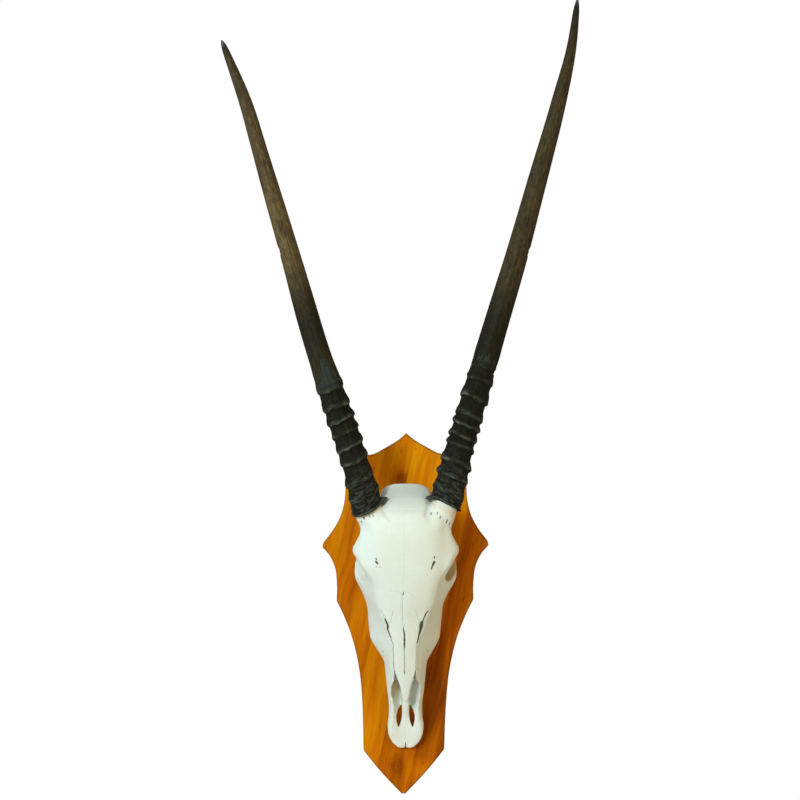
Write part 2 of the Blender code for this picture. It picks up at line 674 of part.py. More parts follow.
def skull(material):
    """The skull: masses of bone fused together, hollowed, smoothed and thinned to its main forms."""
    work = bmesh.new()
    skull_body(work)
    for side in (-1, 1):
        for rod in (CHEEK_ARCH, EYE_BAR, BROW_EDGE, NECK_CREST, NECK_SPUR, WING):
            sweep(work, rod, side)
        for shape in (NECK_JOINT, EAR_BULB):
            egg(work, shape, side)
    for side in HORN_AXES:
        pedicle(work, side)
        horn_core(work, side)
    made = finished("skull", work, material)
    voxels(made, BONE_VOXEL)
    smoothed(made, 3)
    baked(made)
    boolean(made, nose_hollow())
    for tool in hollows():
        boolean(made, tool)
    boolean(made, nose_bones(), "UNION")
    voxels(made, BONE_VOXEL)
    smoothed(made, 2)
    baked(made)
    thinned = made.modifiers.new("thinned", "DECIMATE")
    thinned.ratio = BONE_TRIANGLES / (2 * len(made.data.polygons))
    boolean(made, front_slots())
    boolean(made, tooth_sockets())
    boolean(made, screw_bores())
    boolean(made, horn_room())
    made.data.materials.clear()
    made.data.materials.append(material)
    made.data.shade_smooth()
    return made


def main():
    for old in list(bpy.data.objects):
        bpy.data.objects.remove(old, do_unlink=True)
    wood = surface("stained_pine", (0.50, 0.17, 0.02), 0.4)
    bone = surface("bleached_bone", (0.75, 0.78, 0.68), 0.6)
    keratin = surface("dark_horn", (0.03, 0.035, 0.033), 0.55)
    enamel = surface("tooth_enamel", (0.66, 0.6, 0.44), 0.4)
    steel = surface("zinc_plated_steel", (0.55, 0.55, 0.53), 0.35, 1.0)
    board(wood)
    skull(bone)
    for side in HORN_AXES:
        horn(side, keratin)
    teeth(enamel)
    for name, (z, end) in SKULL_SCREWS.items():
        screw(name, 0.0, z, skull_screw_profile(BOARD_THICKNESS + end), steel)
    hanger(steel, steel)


main()
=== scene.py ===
"""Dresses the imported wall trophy: a gemsbok's skull with both horns, on a stained wooden shield.

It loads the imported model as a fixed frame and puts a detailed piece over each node, in metres, in the same place.
The tables of places are in millimetres: z is the place up the board, x the distance from the middle of the
skull, and rise the distance in front of the board's front face.
"""

import math

import bmesh
import bpy
import numpy as np
from bpy.props import FloatProperty, FloatVectorProperty, IntProperty, PointerProperty
from mathutils import Matrix, Vector


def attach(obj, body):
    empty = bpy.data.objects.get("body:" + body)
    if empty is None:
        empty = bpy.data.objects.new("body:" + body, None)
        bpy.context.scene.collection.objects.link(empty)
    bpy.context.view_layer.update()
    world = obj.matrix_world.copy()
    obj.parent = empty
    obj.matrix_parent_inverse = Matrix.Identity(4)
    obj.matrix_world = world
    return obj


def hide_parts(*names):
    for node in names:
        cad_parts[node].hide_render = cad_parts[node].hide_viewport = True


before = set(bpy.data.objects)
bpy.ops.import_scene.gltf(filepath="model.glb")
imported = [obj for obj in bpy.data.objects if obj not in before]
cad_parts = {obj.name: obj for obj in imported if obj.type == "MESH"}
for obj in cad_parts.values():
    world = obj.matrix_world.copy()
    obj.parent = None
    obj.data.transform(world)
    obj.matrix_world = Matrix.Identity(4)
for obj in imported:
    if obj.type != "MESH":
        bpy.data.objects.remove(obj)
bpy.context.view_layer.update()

bl_info = {
    "name": "Horned skull on a shield",
    "version": (1, 0, 0),
    "blender": (4, 5, 0),
    "location": "View3D > Sidebar > Trophy",
    "description": "Builds the skull, horn sheaths, teeth, shield and fixings of a wall trophy",
    "category": "Object",
}

MM = 0.001
BODY = "root"
SIDES = {"left": -1, "right": 1}

# ---------------------------------------------------------------- the shield
BOARD_THICKNESS = 20.0
# Half of the outline, from the upper point down to the lower one: (x, z) for each stretch between corners.
BOARD_STRETCHES = (
    ((0.6, 172.5), (13.5, 162.0), (34.5, 149.6), (52.0, 141.0), (74.0, 139.5), (97.0, 142.0)),
    ((97.0, 142.0), (94.5, 107.0), (94.5, 76.0), (100.5, 48.0), (113.0, 24.0), (127.5, 4.5)),
    ((129.0, -1.5), (117.0, -16.0), (108.5, -36.0), (105.8, -62.0), (106.0, -83.0)),
    (
        (106.0, -85.5), (95.5, -107.0), (83.5, -137.0), (74.0, -172.0), (67.5, -212.0), (64.0, -265.0),
        (62.6, -316.0),
    ),
    ((61.8, -318.5), (44.0, -341.0), (26.0, -361.5), (3.0, -385.5)),
)
# The hand-sawn outline is out of square: sideways for each mm of height, and upwards for each mm across.
BOARD_SKEW = (0.008, 0.012)
# Vertices of the board's front that are closer than this become one, because its rounded edge folds over itself at
# the points. A face is flat where all its vertices lie within FLAT_REACH of the front or of the back.
FOLD_REACH = 0.8
FLAT_REACH = 0.001
OUTLINE_STEPS = 7
EDGE_STEPS = 4
# How far the cutters for the bores, and those for the hanger, stand over the board's back.
BORE_OVER = 3.0
BLOCK_OVER = 5.0
# The depths where the room for a skull screw's head starts to narrow, and where it is as narrow as the shank's.
HEAD_BORE = (2.0, 4.2)
# The least darkening on the faces of the board's rim, partly stain gathered on the rounded edge and partly painted
# shade. It is full on those that look straight sideways.
RIM_STAIN_AND_SHADE = 0.35
# The board is glued up from leaning strips: the place of each strip's left edge at the height of STRIP_LEVEL, and
# its tone. Their edges move sideways by STRIP_LEAN for each mm upwards.
# The last strip's dark tone is partly its own and partly painted shade where the skull's shadow falls.
STRIPS = ((-150.0, -0.03), (-75.0, -0.01), (-26.2, -0.03), (5.4, 0.09), (58.0, -0.04), (110.2, -0.11))
STRIP_LEVEL = 118.0
STRIP_LEAN = 0.22
# Half the width over which one strip's tone passes into the next, and over which an edge cuts off a knot.
STRIP_STEP = 0.2
KNOT_CUT = 0.3
# Knots: (x, z) of the middle, the half width and half height, and the strip edge that cuts it off on the right.
KNOTS = (
    ((-5.0, 104.0), (13.0, 12.0), 5.4), ((-12.0, -343.0), (15.0, 20.0), 110.2), ((-6.3, 146.3), (2.2, 5.5), 58.0),
)
# Broad patches of painted shadow (below 0) and of painted light: the skull's shadow right of the nose, the lit board
# under it, the left horn's shadow and the braincase's shadow by the upper knot. Each is (x, z) of the middle, the
# half width and half height, and the tone.
PAINTED_SHADING = (
    ((54.0, -235.0), (36.0, 120.0), -0.2), ((20.0, -350.0), (30.0, 26.0), 0.16),
    ((-60.0, 112.0), (26.0, 40.0), -0.24), ((-10.0, 104.0), (24.0, 26.0), -0.1),
)

# ---------------------------------------------------------------- the skull
# Its surface lines, each a list of (z, x, rise), from the tip of the nose up to the back of the head.
ROOF = (
    (-313, 0, 11), (-300, 0, 15), (-285, 0, 18.5), (-270, 0, 21), (-258, 0, 22.5), (-245, 0, 25), (-231, 0, 42),
    (-218, 0, 57), (-186, 0, 72), (-128, 0, 95), (-56, 0, 125), (-14, 0, 140), (35, 0, 151), (54, 0, 150),
    (65, 0, 144), (80, 0, 126), (99, 0, 93),
)
NASAL_EDGE = (
    (-313, 3, 11.5), (-300, 7, 15), (-285, 9.5, 19), (-270, 10, 22), (-258, 10, 24), (-245, 10.5, 27),
    (-231, 11, 42), (-218, 12, 54), (-186, 15.5, 70), (-150, 17, 84), (-128, 19.5, 92), (-90, 25, 106),
    (-56, 29, 121.5), (-14, 34, 138), (35, 35, 148), (55, 28, 147), (65, 25, 142), (80, 24, 124), (92, 21, 101),
    (99, 9, 93),
)
# The wall falls away just outside that edge.
WALL_TOP = (
    (-313, 5, 12), (-300, 11, 15.5), (-285, 15, 20), (-260, 16, 27), (-231, 15.5, 43), (-218, 16, 51),
    (-186, 17.8, 65.5), (-150, 19.4, 79), (-128, 22.5, 87.5), (-90, 33, 102.5), (-56, 42, 116), (-14, 55, 130),
    (35, 53, 138), (55, 40, 136), (65, 32, 135), (80, 31, 118), (92, 28, 97), (99, 12, 91),
)
SHOULDER = (
    (-313, 7.8, 12.5), (-300, 18, 15.5), (-285, 24, 20), (-260, 20, 30), (-231, 19.5, 43), (-186, 24, 55),
    (-158, 26, 67), (-128, 29, 79), (-110, 33, 87), (-89, 39.5, 95), (-62, 49, 102.5), (-46, 52, 108),
    (-36, 54.5, 112), (-24, 62.5, 117), (-14, 68.5, 119), (-5, 73, 118), (4, 77.6, 115), (9, 77.4, 116),
    (15, 74.6, 118), (22, 70.8, 121), (30, 67.6, 123), (44, 65.8, 122), (55, 52, 120), (65, 39, 124),
    (75, 37, 115), (85, 36.5, 102), (92, 33.5, 91), (96, 26, 90), (99, 15, 89),
)
CHEEK = (
    (-313, 8.2, 11.5), (-308, 16.7, 12.5), (-302, 22, 13.5), (-290, 27, 15), (-275, 28.4, 17), (-260, 26.3, 20),
    (-243, 26, 23), (-216, 28.8, 28), (-192, 31, 30), (-176, 32.4, 32), (-158, 41.4, 33), (-147, 47.2, 34.5),
    (-137, 51.6, 36), (-124, 53, 38), (-89, 57, 44), (-78, 60.3, 48), (-62, 66.5, 56), (-46, 72.5, 60), (-36, 75, 62),
    (-14, 75.5, 63), (4, 74.5, 66), (12, 54, 92), (25, 46, 97), (45, 43, 98), (65, 41, 94), (80, 38, 84),
    (90, 35, 74), (99, 17, 80),
)
TOOTH_LINE = (
    (-313, 7.8, 10), (-300, 18, 9), (-275, 24, 10.5), (-243, 21, 15), (-216, 22, 18), (-186, 26, 18),
    (-172, 31, 17.5), (-158, 39, 17.5), (-142, 48, 17.5), (-124, 51, 17.5), (-89, 53, 18), (-70, 54, 20),
    (-56, 56, 28), (-36, 60, 44), (-14, 63, 52), (4, 62, 56), (12, 46, 60), (25, 42, 56), (65, 44, 50),
    (80, 37, 46), (90, 32, 48), (99, 14, 64),
)
PALATE_EDGE = (
    (-313, 4, 10), (-300, 7, 8.5), (-275, 11, 10), (-243, 10, 14), (-216, 11, 17), (-186, 14, 21),
    (-165, 20, 23), (-142, 28, 23), (-89, 31, 23), (-62, 31, 26), (-36, 28, 36), (-14, 27, 44), (4, 26, 44),
    (25, 20, 40), (65, 15, 31), (88, 14, 29), (99, 8, 58),
)
FLOOR = (
    (-313, 0, 10), (-300, 0, 8), (-275, 0, 10), (-243, 0, 14.5), (-216, 0, 18), (-186, 0, 22), (-142, 0, 26),
    (-89, 0, 28), (-62, 0, 32), (-36, 0, 42), (-14, 0, 46), (25, 0, 40), (65, 0, 31), (88, 0, 29), (99, 0, 57),
)
# How far the face lies to one side: (z, x).
SKULL_SHIFT = ((-313, 0), (-165, 0), (-140, -1.1), (-82, -1.1), (-55, 0), (99, 0))
SKULL_LINES = (ROOF, NASAL_EDGE, WALL_TOP, SHOULDER, CHEEK, TOOTH_LINE, PALATE_EDGE, FLOOR)
SKULL_SPACING = 4.0
# Turns of smoothing of the fused masses, and again when their hollows are cut.
FUSED_SMOOTHING = 5
CUT_SMOOTHING = 3
# Rods of bone, each a list of (z, x, rise, radius).
CHEEK_ARCH = (
    (-58, 62, 52, 7), (-40, 70, 57, 7), (-20, 71.5, 59, 5), (5, 68.5, 60, 4.5), (25, 59, 61, 5), (42, 53, 60, 5.5),
    (62, 44, 58, 7),
)
EYE_BAR = ((1, 72, 114, 6), (5, 74.5, 104, 4.5), (7, 74.5, 86, 4), (5, 73, 62, 5))
BROW_EDGE = (
    (-40, 51.5, 110, 3), (-24, 60.5, 115, 2.8), (-12, 67.5, 117, 2.6), (3.5, 75.4, 115, 2.6), (9, 75, 115, 2.6),
    (16, 71.2, 117, 2.8), (25, 66.6, 119, 3.2),
)
NECK_CREST = (
    (74, 36, 66, 4), (84, 34.5, 78, 3), (90.5, 33, 84, 2.6), (96, 26, 88, 2.4), (98.8, 14, 90, 2.3),
    (99.4, 0, 90, 2.3),
)
NECK_SPUR = ((84, 30, 48, 6.5), (87, 30, 30, 5), (85, 29, 12, 2.5))
WING = ((-66, 25, 28, 4), (-44, 21, 32, 4.5), (-18, 18, 38, 4.5), (10, 18, 42, 4.5))
BROW_PEDICLE = ((14, 34, 113, 21), (30, 43, 117, 21), (42, 47, 118.5, 20), (54, 52, 119, 19.5))
BROW_RIDGE = ((12, 24, 126, 20), (36, 36, 127, 20), (54, 44, 126, 18.5), (66, 49, 125, 15))
COLLAR_FLANGE = ((46, 48, 116, 11), (57, 45, 115, 9.5), (63, 44, 113, 8))
# The last point of the rod under a horn, from where the horn's axis starts, and the rod's radius there.
COLLAR_END = (-7.0, -1.8, -0.6, 19.4)
# Turns of extra smoothing where the collars flow into the brow, and its part as (from, fade in, to, fade out) along
# z and x, and the rise over which it fades in.
BROW_SMOOTHING = 60
BROW_PART = ((4.0, 10.0, 72.0, 12.0), (20.0, 10.0, 66.0, 8.0))
BROW_PART_RISE = (98.0, 108.0)
# Egg shapes of bone and hollows: (z, x, rise) of the middle, then the half sizes along z, x and rise.
NECK_JOINT = ((87, 17, 32), (9, 11, 12))
EAR_BULB = ((58, 26, 30), (15, 9, 12))
EYE_SOCKET = ((-18, 71, 84), (27, 34, 26))
TEMPLE = ((16, 54, 80), (24, 12, 19))
THROAT = ((-32, 0, 34), (26, 13, 16))
SPINE_HOLE = ((97, 0, 46), (20, 12, 10))
# The open nose: (z, half width, floor rise, roof rise), and the bones over it: (z, half width, top rise, thickness).
NOSE_HOLLOW = (
    (-272, 5, 20.5, 34), (-264, 12, 18.5, 40), (-255, 15.5, 17, 50), (-245, 17.5, 17, 70), (-232, 20.4, 18, 84),
    (-222, 22.4, 22, 84), (-209, 21.2, 24, 84), (-201.3, 18.2, 25, 84), (-193.7, 15.2, 26, 84),
    (-187.8, 13.9, 27, 84), (-182, 13.2, 28, 80), (-176, 12.8, 30, 68), (-165, 12, 34, 60),
)
NOSE_BONES = (
    (-233, 2.6, 50.5, 4.6), (-227, 4.6, 54, 5), (-219, 6.6, 58, 5.4), (-211, 7.6, 61.5, 5.8), (-204, 9.4, 64.6, 6),
    (-199, 10.6, 66.8, 6), (-193.7, 11.9, 69.2, 5.5), (-187.8, 13.6, 71.4, 6), (-183.6, 15.6, 72.8, 6),
    (-179, 16.8, 74.6, 7), (-170, 17.0, 78, 8),
)
# How far the nose bones' edges lie under their middle, as a share of their half width.
NOSE_ARCH = 0.16
# The bar along the middle of the nose's floor, in the same terms.
NOSE_BAR = (
    (-276, 4.6, 21, 9), (-262, 5.3, 24, 10), (-248, 5.4, 30, 12), (-236, 5.0, 35, 14), (-226, 4.4, 37.5, 15),
    (-212, 4, 39, 15),
)
# The slots in the front of the palate, as (z, inner x, outer x), and the notch at the tip of the nose.
PALATE_SLOT = ((-243, 5.8, 7.4), (-250, 5.6, 11.8), (-259, 5.6, 14.4), (-268, 6.6, 14.0), (-277, 9.8, 11.8))
TIP_NOTCH = ((-320, 2.2), (-310, 1.2), (-302, 0.4))
# The rises between which the slots and the notch are cut through.
SLOT_RISES = (0.0, 27.0)
NOTCH_RISES = (2.0, 30.0)
# Lines and holes in the bone's front: depth and darkness, then the (z, x, half width) that each runs through. The
# sutures' darkness is their own; in the holes, slits and pits, the creases behind the collars and the tops of the
# nose openings it is painted shade.
SEAMS = (
    # Across the brow, along its middle, and the creases behind the collars, darkened with painted shade.
    (0.35, 0.07, (
        (62.8, -31.8, 0.8), (64.9, -21.6, 0.8), (64.6, -11.4, 0.8), (65.3, -0.6, 0.8), (64.6, 10.3, 0.8),
        (64.9, 20.5, 0.8), (63.0, 30.7, 0.8))),
    (0.25, 0.02, ((62.9, -0.6, 1.6), (37.3, -1.0, 1.6), (8.0, -0.4, 1.0), (-22.0, -1.3, 0.8), (-54.6, -2.7, 0.6))),
    (1.0, 0.1, ((66.0, -35.0, 1.2), (60.0, -31.0, 2.0), (54.5, -26.5, 2.4), (51.5, -23.0, 2.0))),
    (1.0, 0.06, ((72.0, 32.0, 1.0), (64.0, 30.5, 1.8), (58.0, 28.5, 2.0))),
    # Two holes low in the cheeks, and the seam between the brow and the nose bones.
    (1.2, 0.6, ((-154.8, -34.9, 0.5), (-156.8, -34.2, 0.6))),
    (1.2, 0.6, ((-153.6, 33.7, 0.5), (-155.4, 33.2, 0.6))),
    (0.3, 0.2, ((-54.0, -23.9, 0.4), (-55.4, -12.7, 0.4), (-57.4, -6.0, 0.4))),
    (0.2, 0.08, ((-56.0, -1.5, 0.4), (-59.0, 8.0, 0.4), (-66.0, 18.0, 0.4))),
    (1.0, 0.8, ((-56.0, -3.4, 0.7), (-59.5, -3.9, 0.9))),
    # Between the nose bones.
    (0.6, 0.4, ((-60.0, -5.2, 0.4), (-83.7, -5.0, 0.4), (-101.0, -4.3, 0.4), (-112.0, -3.6, 0.5))),
    (2.2, 1.0, ((-111.6, -3.6, 0.4), (-122.4, -1.9, 0.9), (-133.0, -1.7, 1.1), (-143.5, -1.8, 0.8))),
    (0.9, 0.75, (
        (-143.0, -1.8, 0.6), (-149.7, -2.1, 0.4), (-164.0, -1.5, 0.45), (-179.0, -1.8, 0.6),
        (-185.5, -1.6, 0.8))),
    # The slit on the left, with the seams that run on from it.
    (3.0, 1.0, (
        (-98.0, -31.0, 0.5), (-103.4, -29.2, 1.1), (-110.2, -26.6, 1.4), (-115.6, -26.9, 0.9), (-121.7, -24.9, 0.8),
        (-127.7, -22.4, 0.8))),
    (1.0, 0.7, (
        (-127.7, -22.4, 0.6), (-133.8, -20.4, 0.45), (-141.4, -18.8, 0.35), (-156.6, -18.1, 0.35),
        (-172.9, -18.2, 0.45), (-180.6, -17.1, 0.6), (-187.0, -15.9, 0.8))),
    (0.5, 0.4, ((-105.6, -25.2, 0.35), (-101.9, -22.4, 0.4), (-91.0, -19.6, 0.35), (-84.2, -18.5, 0.3))),
    (0.5, 0.4, ((-97.0, -31.2, 0.5), (-89.4, -34.8, 0.35), (-83.4, -37.9, 0.3))),
    # The slit on the right, with its seams.
    (3.0, 0.95, (
        (-85.7, 34.2, 0.3), (-91.3, 29.8, 0.9), (-97.6, 27.6, 0.6), (-102.0, 25.8, 0.8), (-105.8, 23.9, 2.5),
        (-111.2, 23.4, 2.6), (-117.2, 22.2, 2.0), (-123.3, 20.3, 1.3), (-130.1, 18.9, 1.0), (-137.0, 17.1, 0.6))),
    (0.9, 0.6, (
        (-137.0, 17.1, 0.5), (-146.0, 16.1, 0.4), (-159.0, 15.9, 0.35), (-173.0, 15.4, 0.4), (-187.0, 14.9, 0.8))),
    (0.45, 0.3, ((-104.2, 21.5, 0.35), (-98.9, 18.5, 0.35), (-91.2, 16.4, 0.3), (-84.3, 14.9, 0.3))),
    # The pointed tops of the nose openings, painted dark as shade, and the seam down to the tip.
    (2.6, 0.85, (
        (-183.5, -16.6, 0.5), (-187.0, -16.2, 1.1), (-190.5, -15.8, 1.7), (-194.0, -15.4, 2.3))),
    (2.6, 0.75, ((-183.5, 14.6, 0.5), (-187.0, 14.6, 1.1), (-190.5, 14.4, 1.8), (-194.0, 14.0, 2.4))),
    (0.5, 0.12, ((-278.0, 0.2, 0.4), (-290.0, -0.3, 0.5), (-302.0, 0.0, 0.6))),
    # Holes in the brow over the eyes.
    (1.6, 0.9, ((-5.4, -43.4, 0.7), (-6.8, -42.8, 0.8))),
    (2.4, 1.0, ((-9.8, -43.6, 0.9), (-11.6, -42.4, 1.3), (-13.3, -40.8, 0.8))),
    (0.7, 0.5, ((-18.3, -43.4, 0.5), (-18.0, -41.8, 0.6))),
    (0.7, 0.5, ((-18.2, -38.8, 0.5), (-18.0, -37.6, 0.5))),
    (1.3, 0.9, ((-32.3, -59.2, 0.5), (-36.0, -57.5, 0.8))),
    (1.4, 0.85, ((-1.6, 42.2, 0.5), (-4.6, 41.5, 0.8))),
    (2.8, 1.0, ((-11.0, 41.6, 1.4), (-13.5, 40.4, 1.3), (-17.2, 38.5, 0.8), (-21.7, 37.3, 0.4))),
    (0.5, 0.3, ((-28.4, 32.0, 0.5), (-29.2, 31.8, 0.5))),
    # Pits in the collars under the horns.
    (1.8, 0.95, ((55.6, -61.4, 0.5), (51.8, -60.5, 0.7))),
    (1.4, 0.8, ((58.8, -53.2, 0.4), (54.8, -52.2, 0.6))),
    (1.4, 0.8, ((59.2, -48.0, 0.4), (55.6, -47.0, 0.5))),
    (1.2, 0.7, ((49.2, -65.0, 0.4), (46.4, -64.4, 0.5))),
    (1.4, 0.7, ((62.4, 37.6, 0.4), (59.0, 36.4, 0.6))),
    (1.3, 0.7, ((62.4, 46.4, 0.4), (59.6, 45.4, 0.5))),
    (1.5, 0.8, ((57.0, 51.0, 0.4), (53.4, 49.8, 0.6))),
    (1.8, 0.95, ((51.2, 60.6, 0.5), (46.6, 59.4, 0.8))),
    (1.3, 0.8, ((46.6, 64.2, 0.4), (43.0, 63.4, 0.5))),
)
# How near a seam the bone's mesh is cut finer, and how near a pit in radii.
SEAM_REACH = 2.2
PIT_REACH = 2.2
# A seam is at least this wide to each side, and one thinner than SEAM_FINE wanders by up to SEAM_WANDER. Every
# seam's width varies between these shares.
SEAM_THINNEST = 0.25
SEAM_FINE = 0.75
SEAM_WANDER = 0.5
SEAM_WIDTHS = (0.75, 1.2)
# The pits in the collars: their spacing, the smallest as a share of the largest, and how far they are drawn out
# up the board.
PIT_SPACING = 2.1
PIT_SMALLEST = 0.35
PIT_STRETCH = 1.9
# A pit's depth in radii, the least and what the deepest add to it, and how dark the deepest are painted as the shade
# inside them.
PIT_DEPTHS = (0.4, 1.3)
PIT_SHADE = 0.85
# The rough band of bone under a horn: its part along the horn as (from, fade in, to, fade out), how that leans
# towards the outer side, and how far from the rim's middle it reaches.
COLLAR_BAND = (-14.0, 8.0, 0.0, 2.0)
COLLAR_LEAN = 0.3
COLLAR_REACH = 30.0
# How much of a seam's or pit's depth goes straight back, and how much of it goes into the surface.
SINK_BACK = 0.75
SINK_INTO = 0.25

# ---------------------------------------------------------------- the horns
# The axis as (z, x, rise) from the rim at the skull to the tip, and the radius and rings at shares of its length.
HORN_AXES = {
    "left": (
        (67.0, -56.8, 124), (104.0, -65.0, 128), (166.7, -84.3, 133), (297.5, -127.4, 143), (441.6, -169.6, 150),
        (585.7, -211.3, 152), (658.1, -233.0, 151), (730.5, -260.6, 150), (744.5, -266.4, 149.5),
    ),
    "right": (
        (72.9, 57.4, 124), (105.0, 66.2, 127), (166.6, 81.9, 129), (297.9, 120.5, 130), (444.1, 163.8, 127),
        (591.7, 205.6, 118), (666.3, 225.4, 112), (741.6, 243.9, 105), (819.5, 254.6, 98),
    ),
}
HORN_RADII = {
    "left": (
        (0.0, 23.6), (0.03, 23.1), (0.055, 21.8), (0.09, 20.3), (0.15, 19.8), (0.26, 19.6), (0.32, 17.2),
        (0.45, 15.8), (0.6, 13.6), (0.8, 10.5), (0.9, 8.1), (0.955, 6.0), (0.98, 4.7), (0.992, 3.2), (1.0, 1.3),
    ),
    "right": (
        (0.0, 23.6), (0.03, 23.2), (0.055, 22.2), (0.1, 20.8), (0.15, 20.2), (0.26, 19.8), (0.32, 18.6),
        (0.45, 17.2), (0.6, 14.6), (0.8, 10.9), (0.9, 7.3), (0.955, 5.4), (0.972, 4.7), (0.986, 3.5), (1.0, 1.3),
    ),
}
# The axis's direction at a point is read between the points this many mm before and after it.
AXIS_REACH = 7.0
# Each ring: its share of the length, and how far it stands out.
RINGS = {
    "left": (
        (0.031, 0.6), (0.062, 1.2), (0.103, 1.8), (0.135, 2.0), (0.164, 1.2), (0.191, 1.8), (0.22, 1.7),
        (0.257, 1.4),
    ),
    "right": (
        (0.022, 0.9), (0.052, 1.8), (0.078, 2.1), (0.111, 1.5), (0.129, 2.0), (0.152, 2.2), (0.171, 1.4),
        (0.205, 2.0), (0.242, 1.3), (0.268, 0.5),
    ),
}
# A ring's upper slope as a share of the way to the next ring, its lower edge in mm, and how far the horn between
# the rings lies inside its mean surface.
RING_SLOPE = 0.5
RING_EDGE = 3.6
RING_WAIST = 1.0
# A ring's top lies this many mm over its edge, and its upper slope runs on by this factor. The paler crest, partly
# wear and partly a painted highlight, covers a share of the slope and this band under the edge, and is full from this
# height of ring.
RING_TOP = 0.8
RING_RUN = 1.25
CREST_RUN = 0.55
CREST_LIP = (-1.8, -0.2)
CREST_FULL = 2.4
# The painted shadow under a ring: how far it lies under the lower edge, its half width, and the ring for a full one.
GROOVE_DROP = 0.7
GROOVE_WIDE = 1.3
GROOVE_FULL = 2.0
# How far the rings' planes dip towards the front and towards the outer side.
RING_DIP = {"left": (5.0, 6.0), "right": (-5.0, 6.0)}
RING_SEEDS = {"left": 11, "right": 23}
RING_ZONE = 0.3
# The socket inside the sheath, as (depth, radius) from the rim, and the bony stub in it.
SOCKET_RADII = ((0.0, 20.8), (25.0, 17.8), (50.0, 13.8), (75.0, 8.0))
SOCKET_DEPTH = SOCKET_RADII[-1][0]
CORE_RADII = ((-16.0, 18.5), (-6.0, 18.8), (4.0, 18.4), (25.0, 15.8), (50.0, 11.5), (66.0, 6.5))
HORN_GAP = 0.5
# The bone leaves this much room round a sheath at its rim and from ROOM_LEVEL up, and this share of the lips' flare.
RIM_ROOM = 0.9
RING_ROOM = 2.2
ROOM_LEVEL = 6.0
FLARE_ROOM = 1.05
# Flares of the rim: the turn round the horn in degrees (0 is its outer side, 90 its front, 180 its inner side),
# the spread and how far it stands out.
RIM_LIPS = {"left": ((174, 20, 9.0), (95, 70, 0.8)), "right": ((176, 14, 6.2), (20, 45, 1.6))}
# Where the rim lies higher or lower than its plane: turn, spread and height.
RIM_SLIPS = {"left": ((0, 50, 2.0), (172, 24, 4.0)), "right": ((168, 34, -6.5), (100, 30, -1.0), (10, 34, 1.2))}
# How far up the horn the slips fade out, and the flares.
RIM_RUN = 9.0
LIP_RUN = {"left": 3.0, "right": 5.2}
LIP_FULL = 0.4  # the share of LIP_RUN over which a flare keeps its full width
# A worn ledge runs round the rim under a groove: the groove's height, depth and half width with the half width and
# strength of the painted shade in it, and how far under it the ledge's pale edge lies, with that edge's half width
# and strength.
RIM_LEDGE = (4.4, 0.9, 1.1)
LEDGE_SHADE = (1.0, 0.8)
LEDGE_EDGE = (1.9, 0.9, 0.7)
# Chips: share of the length, turn in degrees, length, spread in degrees, depth.
CHIPS = {
    "left": ((0.555, 2, 6.0, 30, 1.1), (0.05, 30, 3.0, 22, 1.2), (0.21, 150, 4.0, 20, 1.0)),
    "right": ((0.5, 4, 7.0, 34, 1.1), (0.265, 6, 3.0, 36, 1.2), (0.09, 140, 3.0, 18, 0.9)),
}
# How much a chip's depth varies, and how often round the horn.
CHIP_RAGGED = (0.3, 7)
# The horn's brown outer layer ends above the rings in a ragged edge: (turn in degrees, share of the length).
LAYER_EDGE = {
    "left": (
        (0, 0.262), (50, 0.272), (66, 0.3), (76, 0.288), (90, 0.325), (104, 0.31), (116, 0.318), (128, 0.285),
        (150, 0.272), (180, 0.268), (270, 0.27), (360, 0.262),
    ),
    "right": ((0, 0.282), (40, 0.276), (90, 0.288), (130, 0.278), (180, 0.284), (270, 0.28), (360, 0.282)),
}
LAYER_RAGGED = 0.012
# The ragged edge's waves (height, number round the horn, phase), the width of its step, how far under it the bare
# layer still dips, and where above the last ring the bare layer begins and is full, as shares of the length.
LAYER_WAVES = ((0.5, 9, 1.0), (0.3, 23, 0.0), (0.2, 41, 2.0))
LAYER_STEP = 0.0035
LAYER_RUN = 0.03
BARE_FROM = (0.004, 0.014)
# How brown the outer layer is at shares of the length. The right horn is less brown partly in its own colour and
# partly as painted shade.
BROWN = {
    "left": (
        (0.3, 0.2), (0.34, 0.12), (0.4, 0.05), (0.46, 0.25), (0.52, 0.85), (0.62, 1.0), (0.72, 0.75), (0.88, 0.6),
        (0.96, 0.4), (1.0, 0.1),
    ),
    "right": ((0.28, 0.02), (0.36, 0.05), (0.46, 0.38), (0.65, 0.42), (0.85, 0.38), (0.96, 0.2), (1.0, 0.1)),
}
LAYER_DEPTH = {"left": 1.3, "right": 0.7}
# The rows of a sheath's mesh inside its socket and near its rim, the share of the length with finer rows for the
# rings, and how fine these are.
SOCKET_ROW = 6.0
RIM_ROW = 1.0
RINGED_SHARE = 0.33
RINGED_ROW = 0.62
# Random waves on the horns: their height (in mm, or as a share for the rings' size, their fraying and the ledge),
# the fewest and the most of them round the horn, the mm along it over which they turn, and how many are summed.
RING_SHIFT = ((1.2, 1, 3, 400.0, 6), (0.7, 4, 9, 400.0, 6))
RING_SWELL = ((0.3, 1, 5, 400.0, 6), (0.2, 6, 16, 90.0, 6))
RING_FRAY = (0.5, 1, 7, 30.0, 6)
FLUTES = (0.16, 9, 26, 90.0, 9)
SWELL = (0.45, 1, 3, 26.0, 8)
LUMPS = (0.5, 3, 12, 3.0, 12)
LEDGE_WAVES = (0.12, 1, 4, 400.0, 6)
# The mm above the rim over which the swell and the lumps set in, and the share of the length where the lumps start
# to fade out.
SWELL_START = 20.0
LUMP_START = 8.0
LUMP_END = 0.24

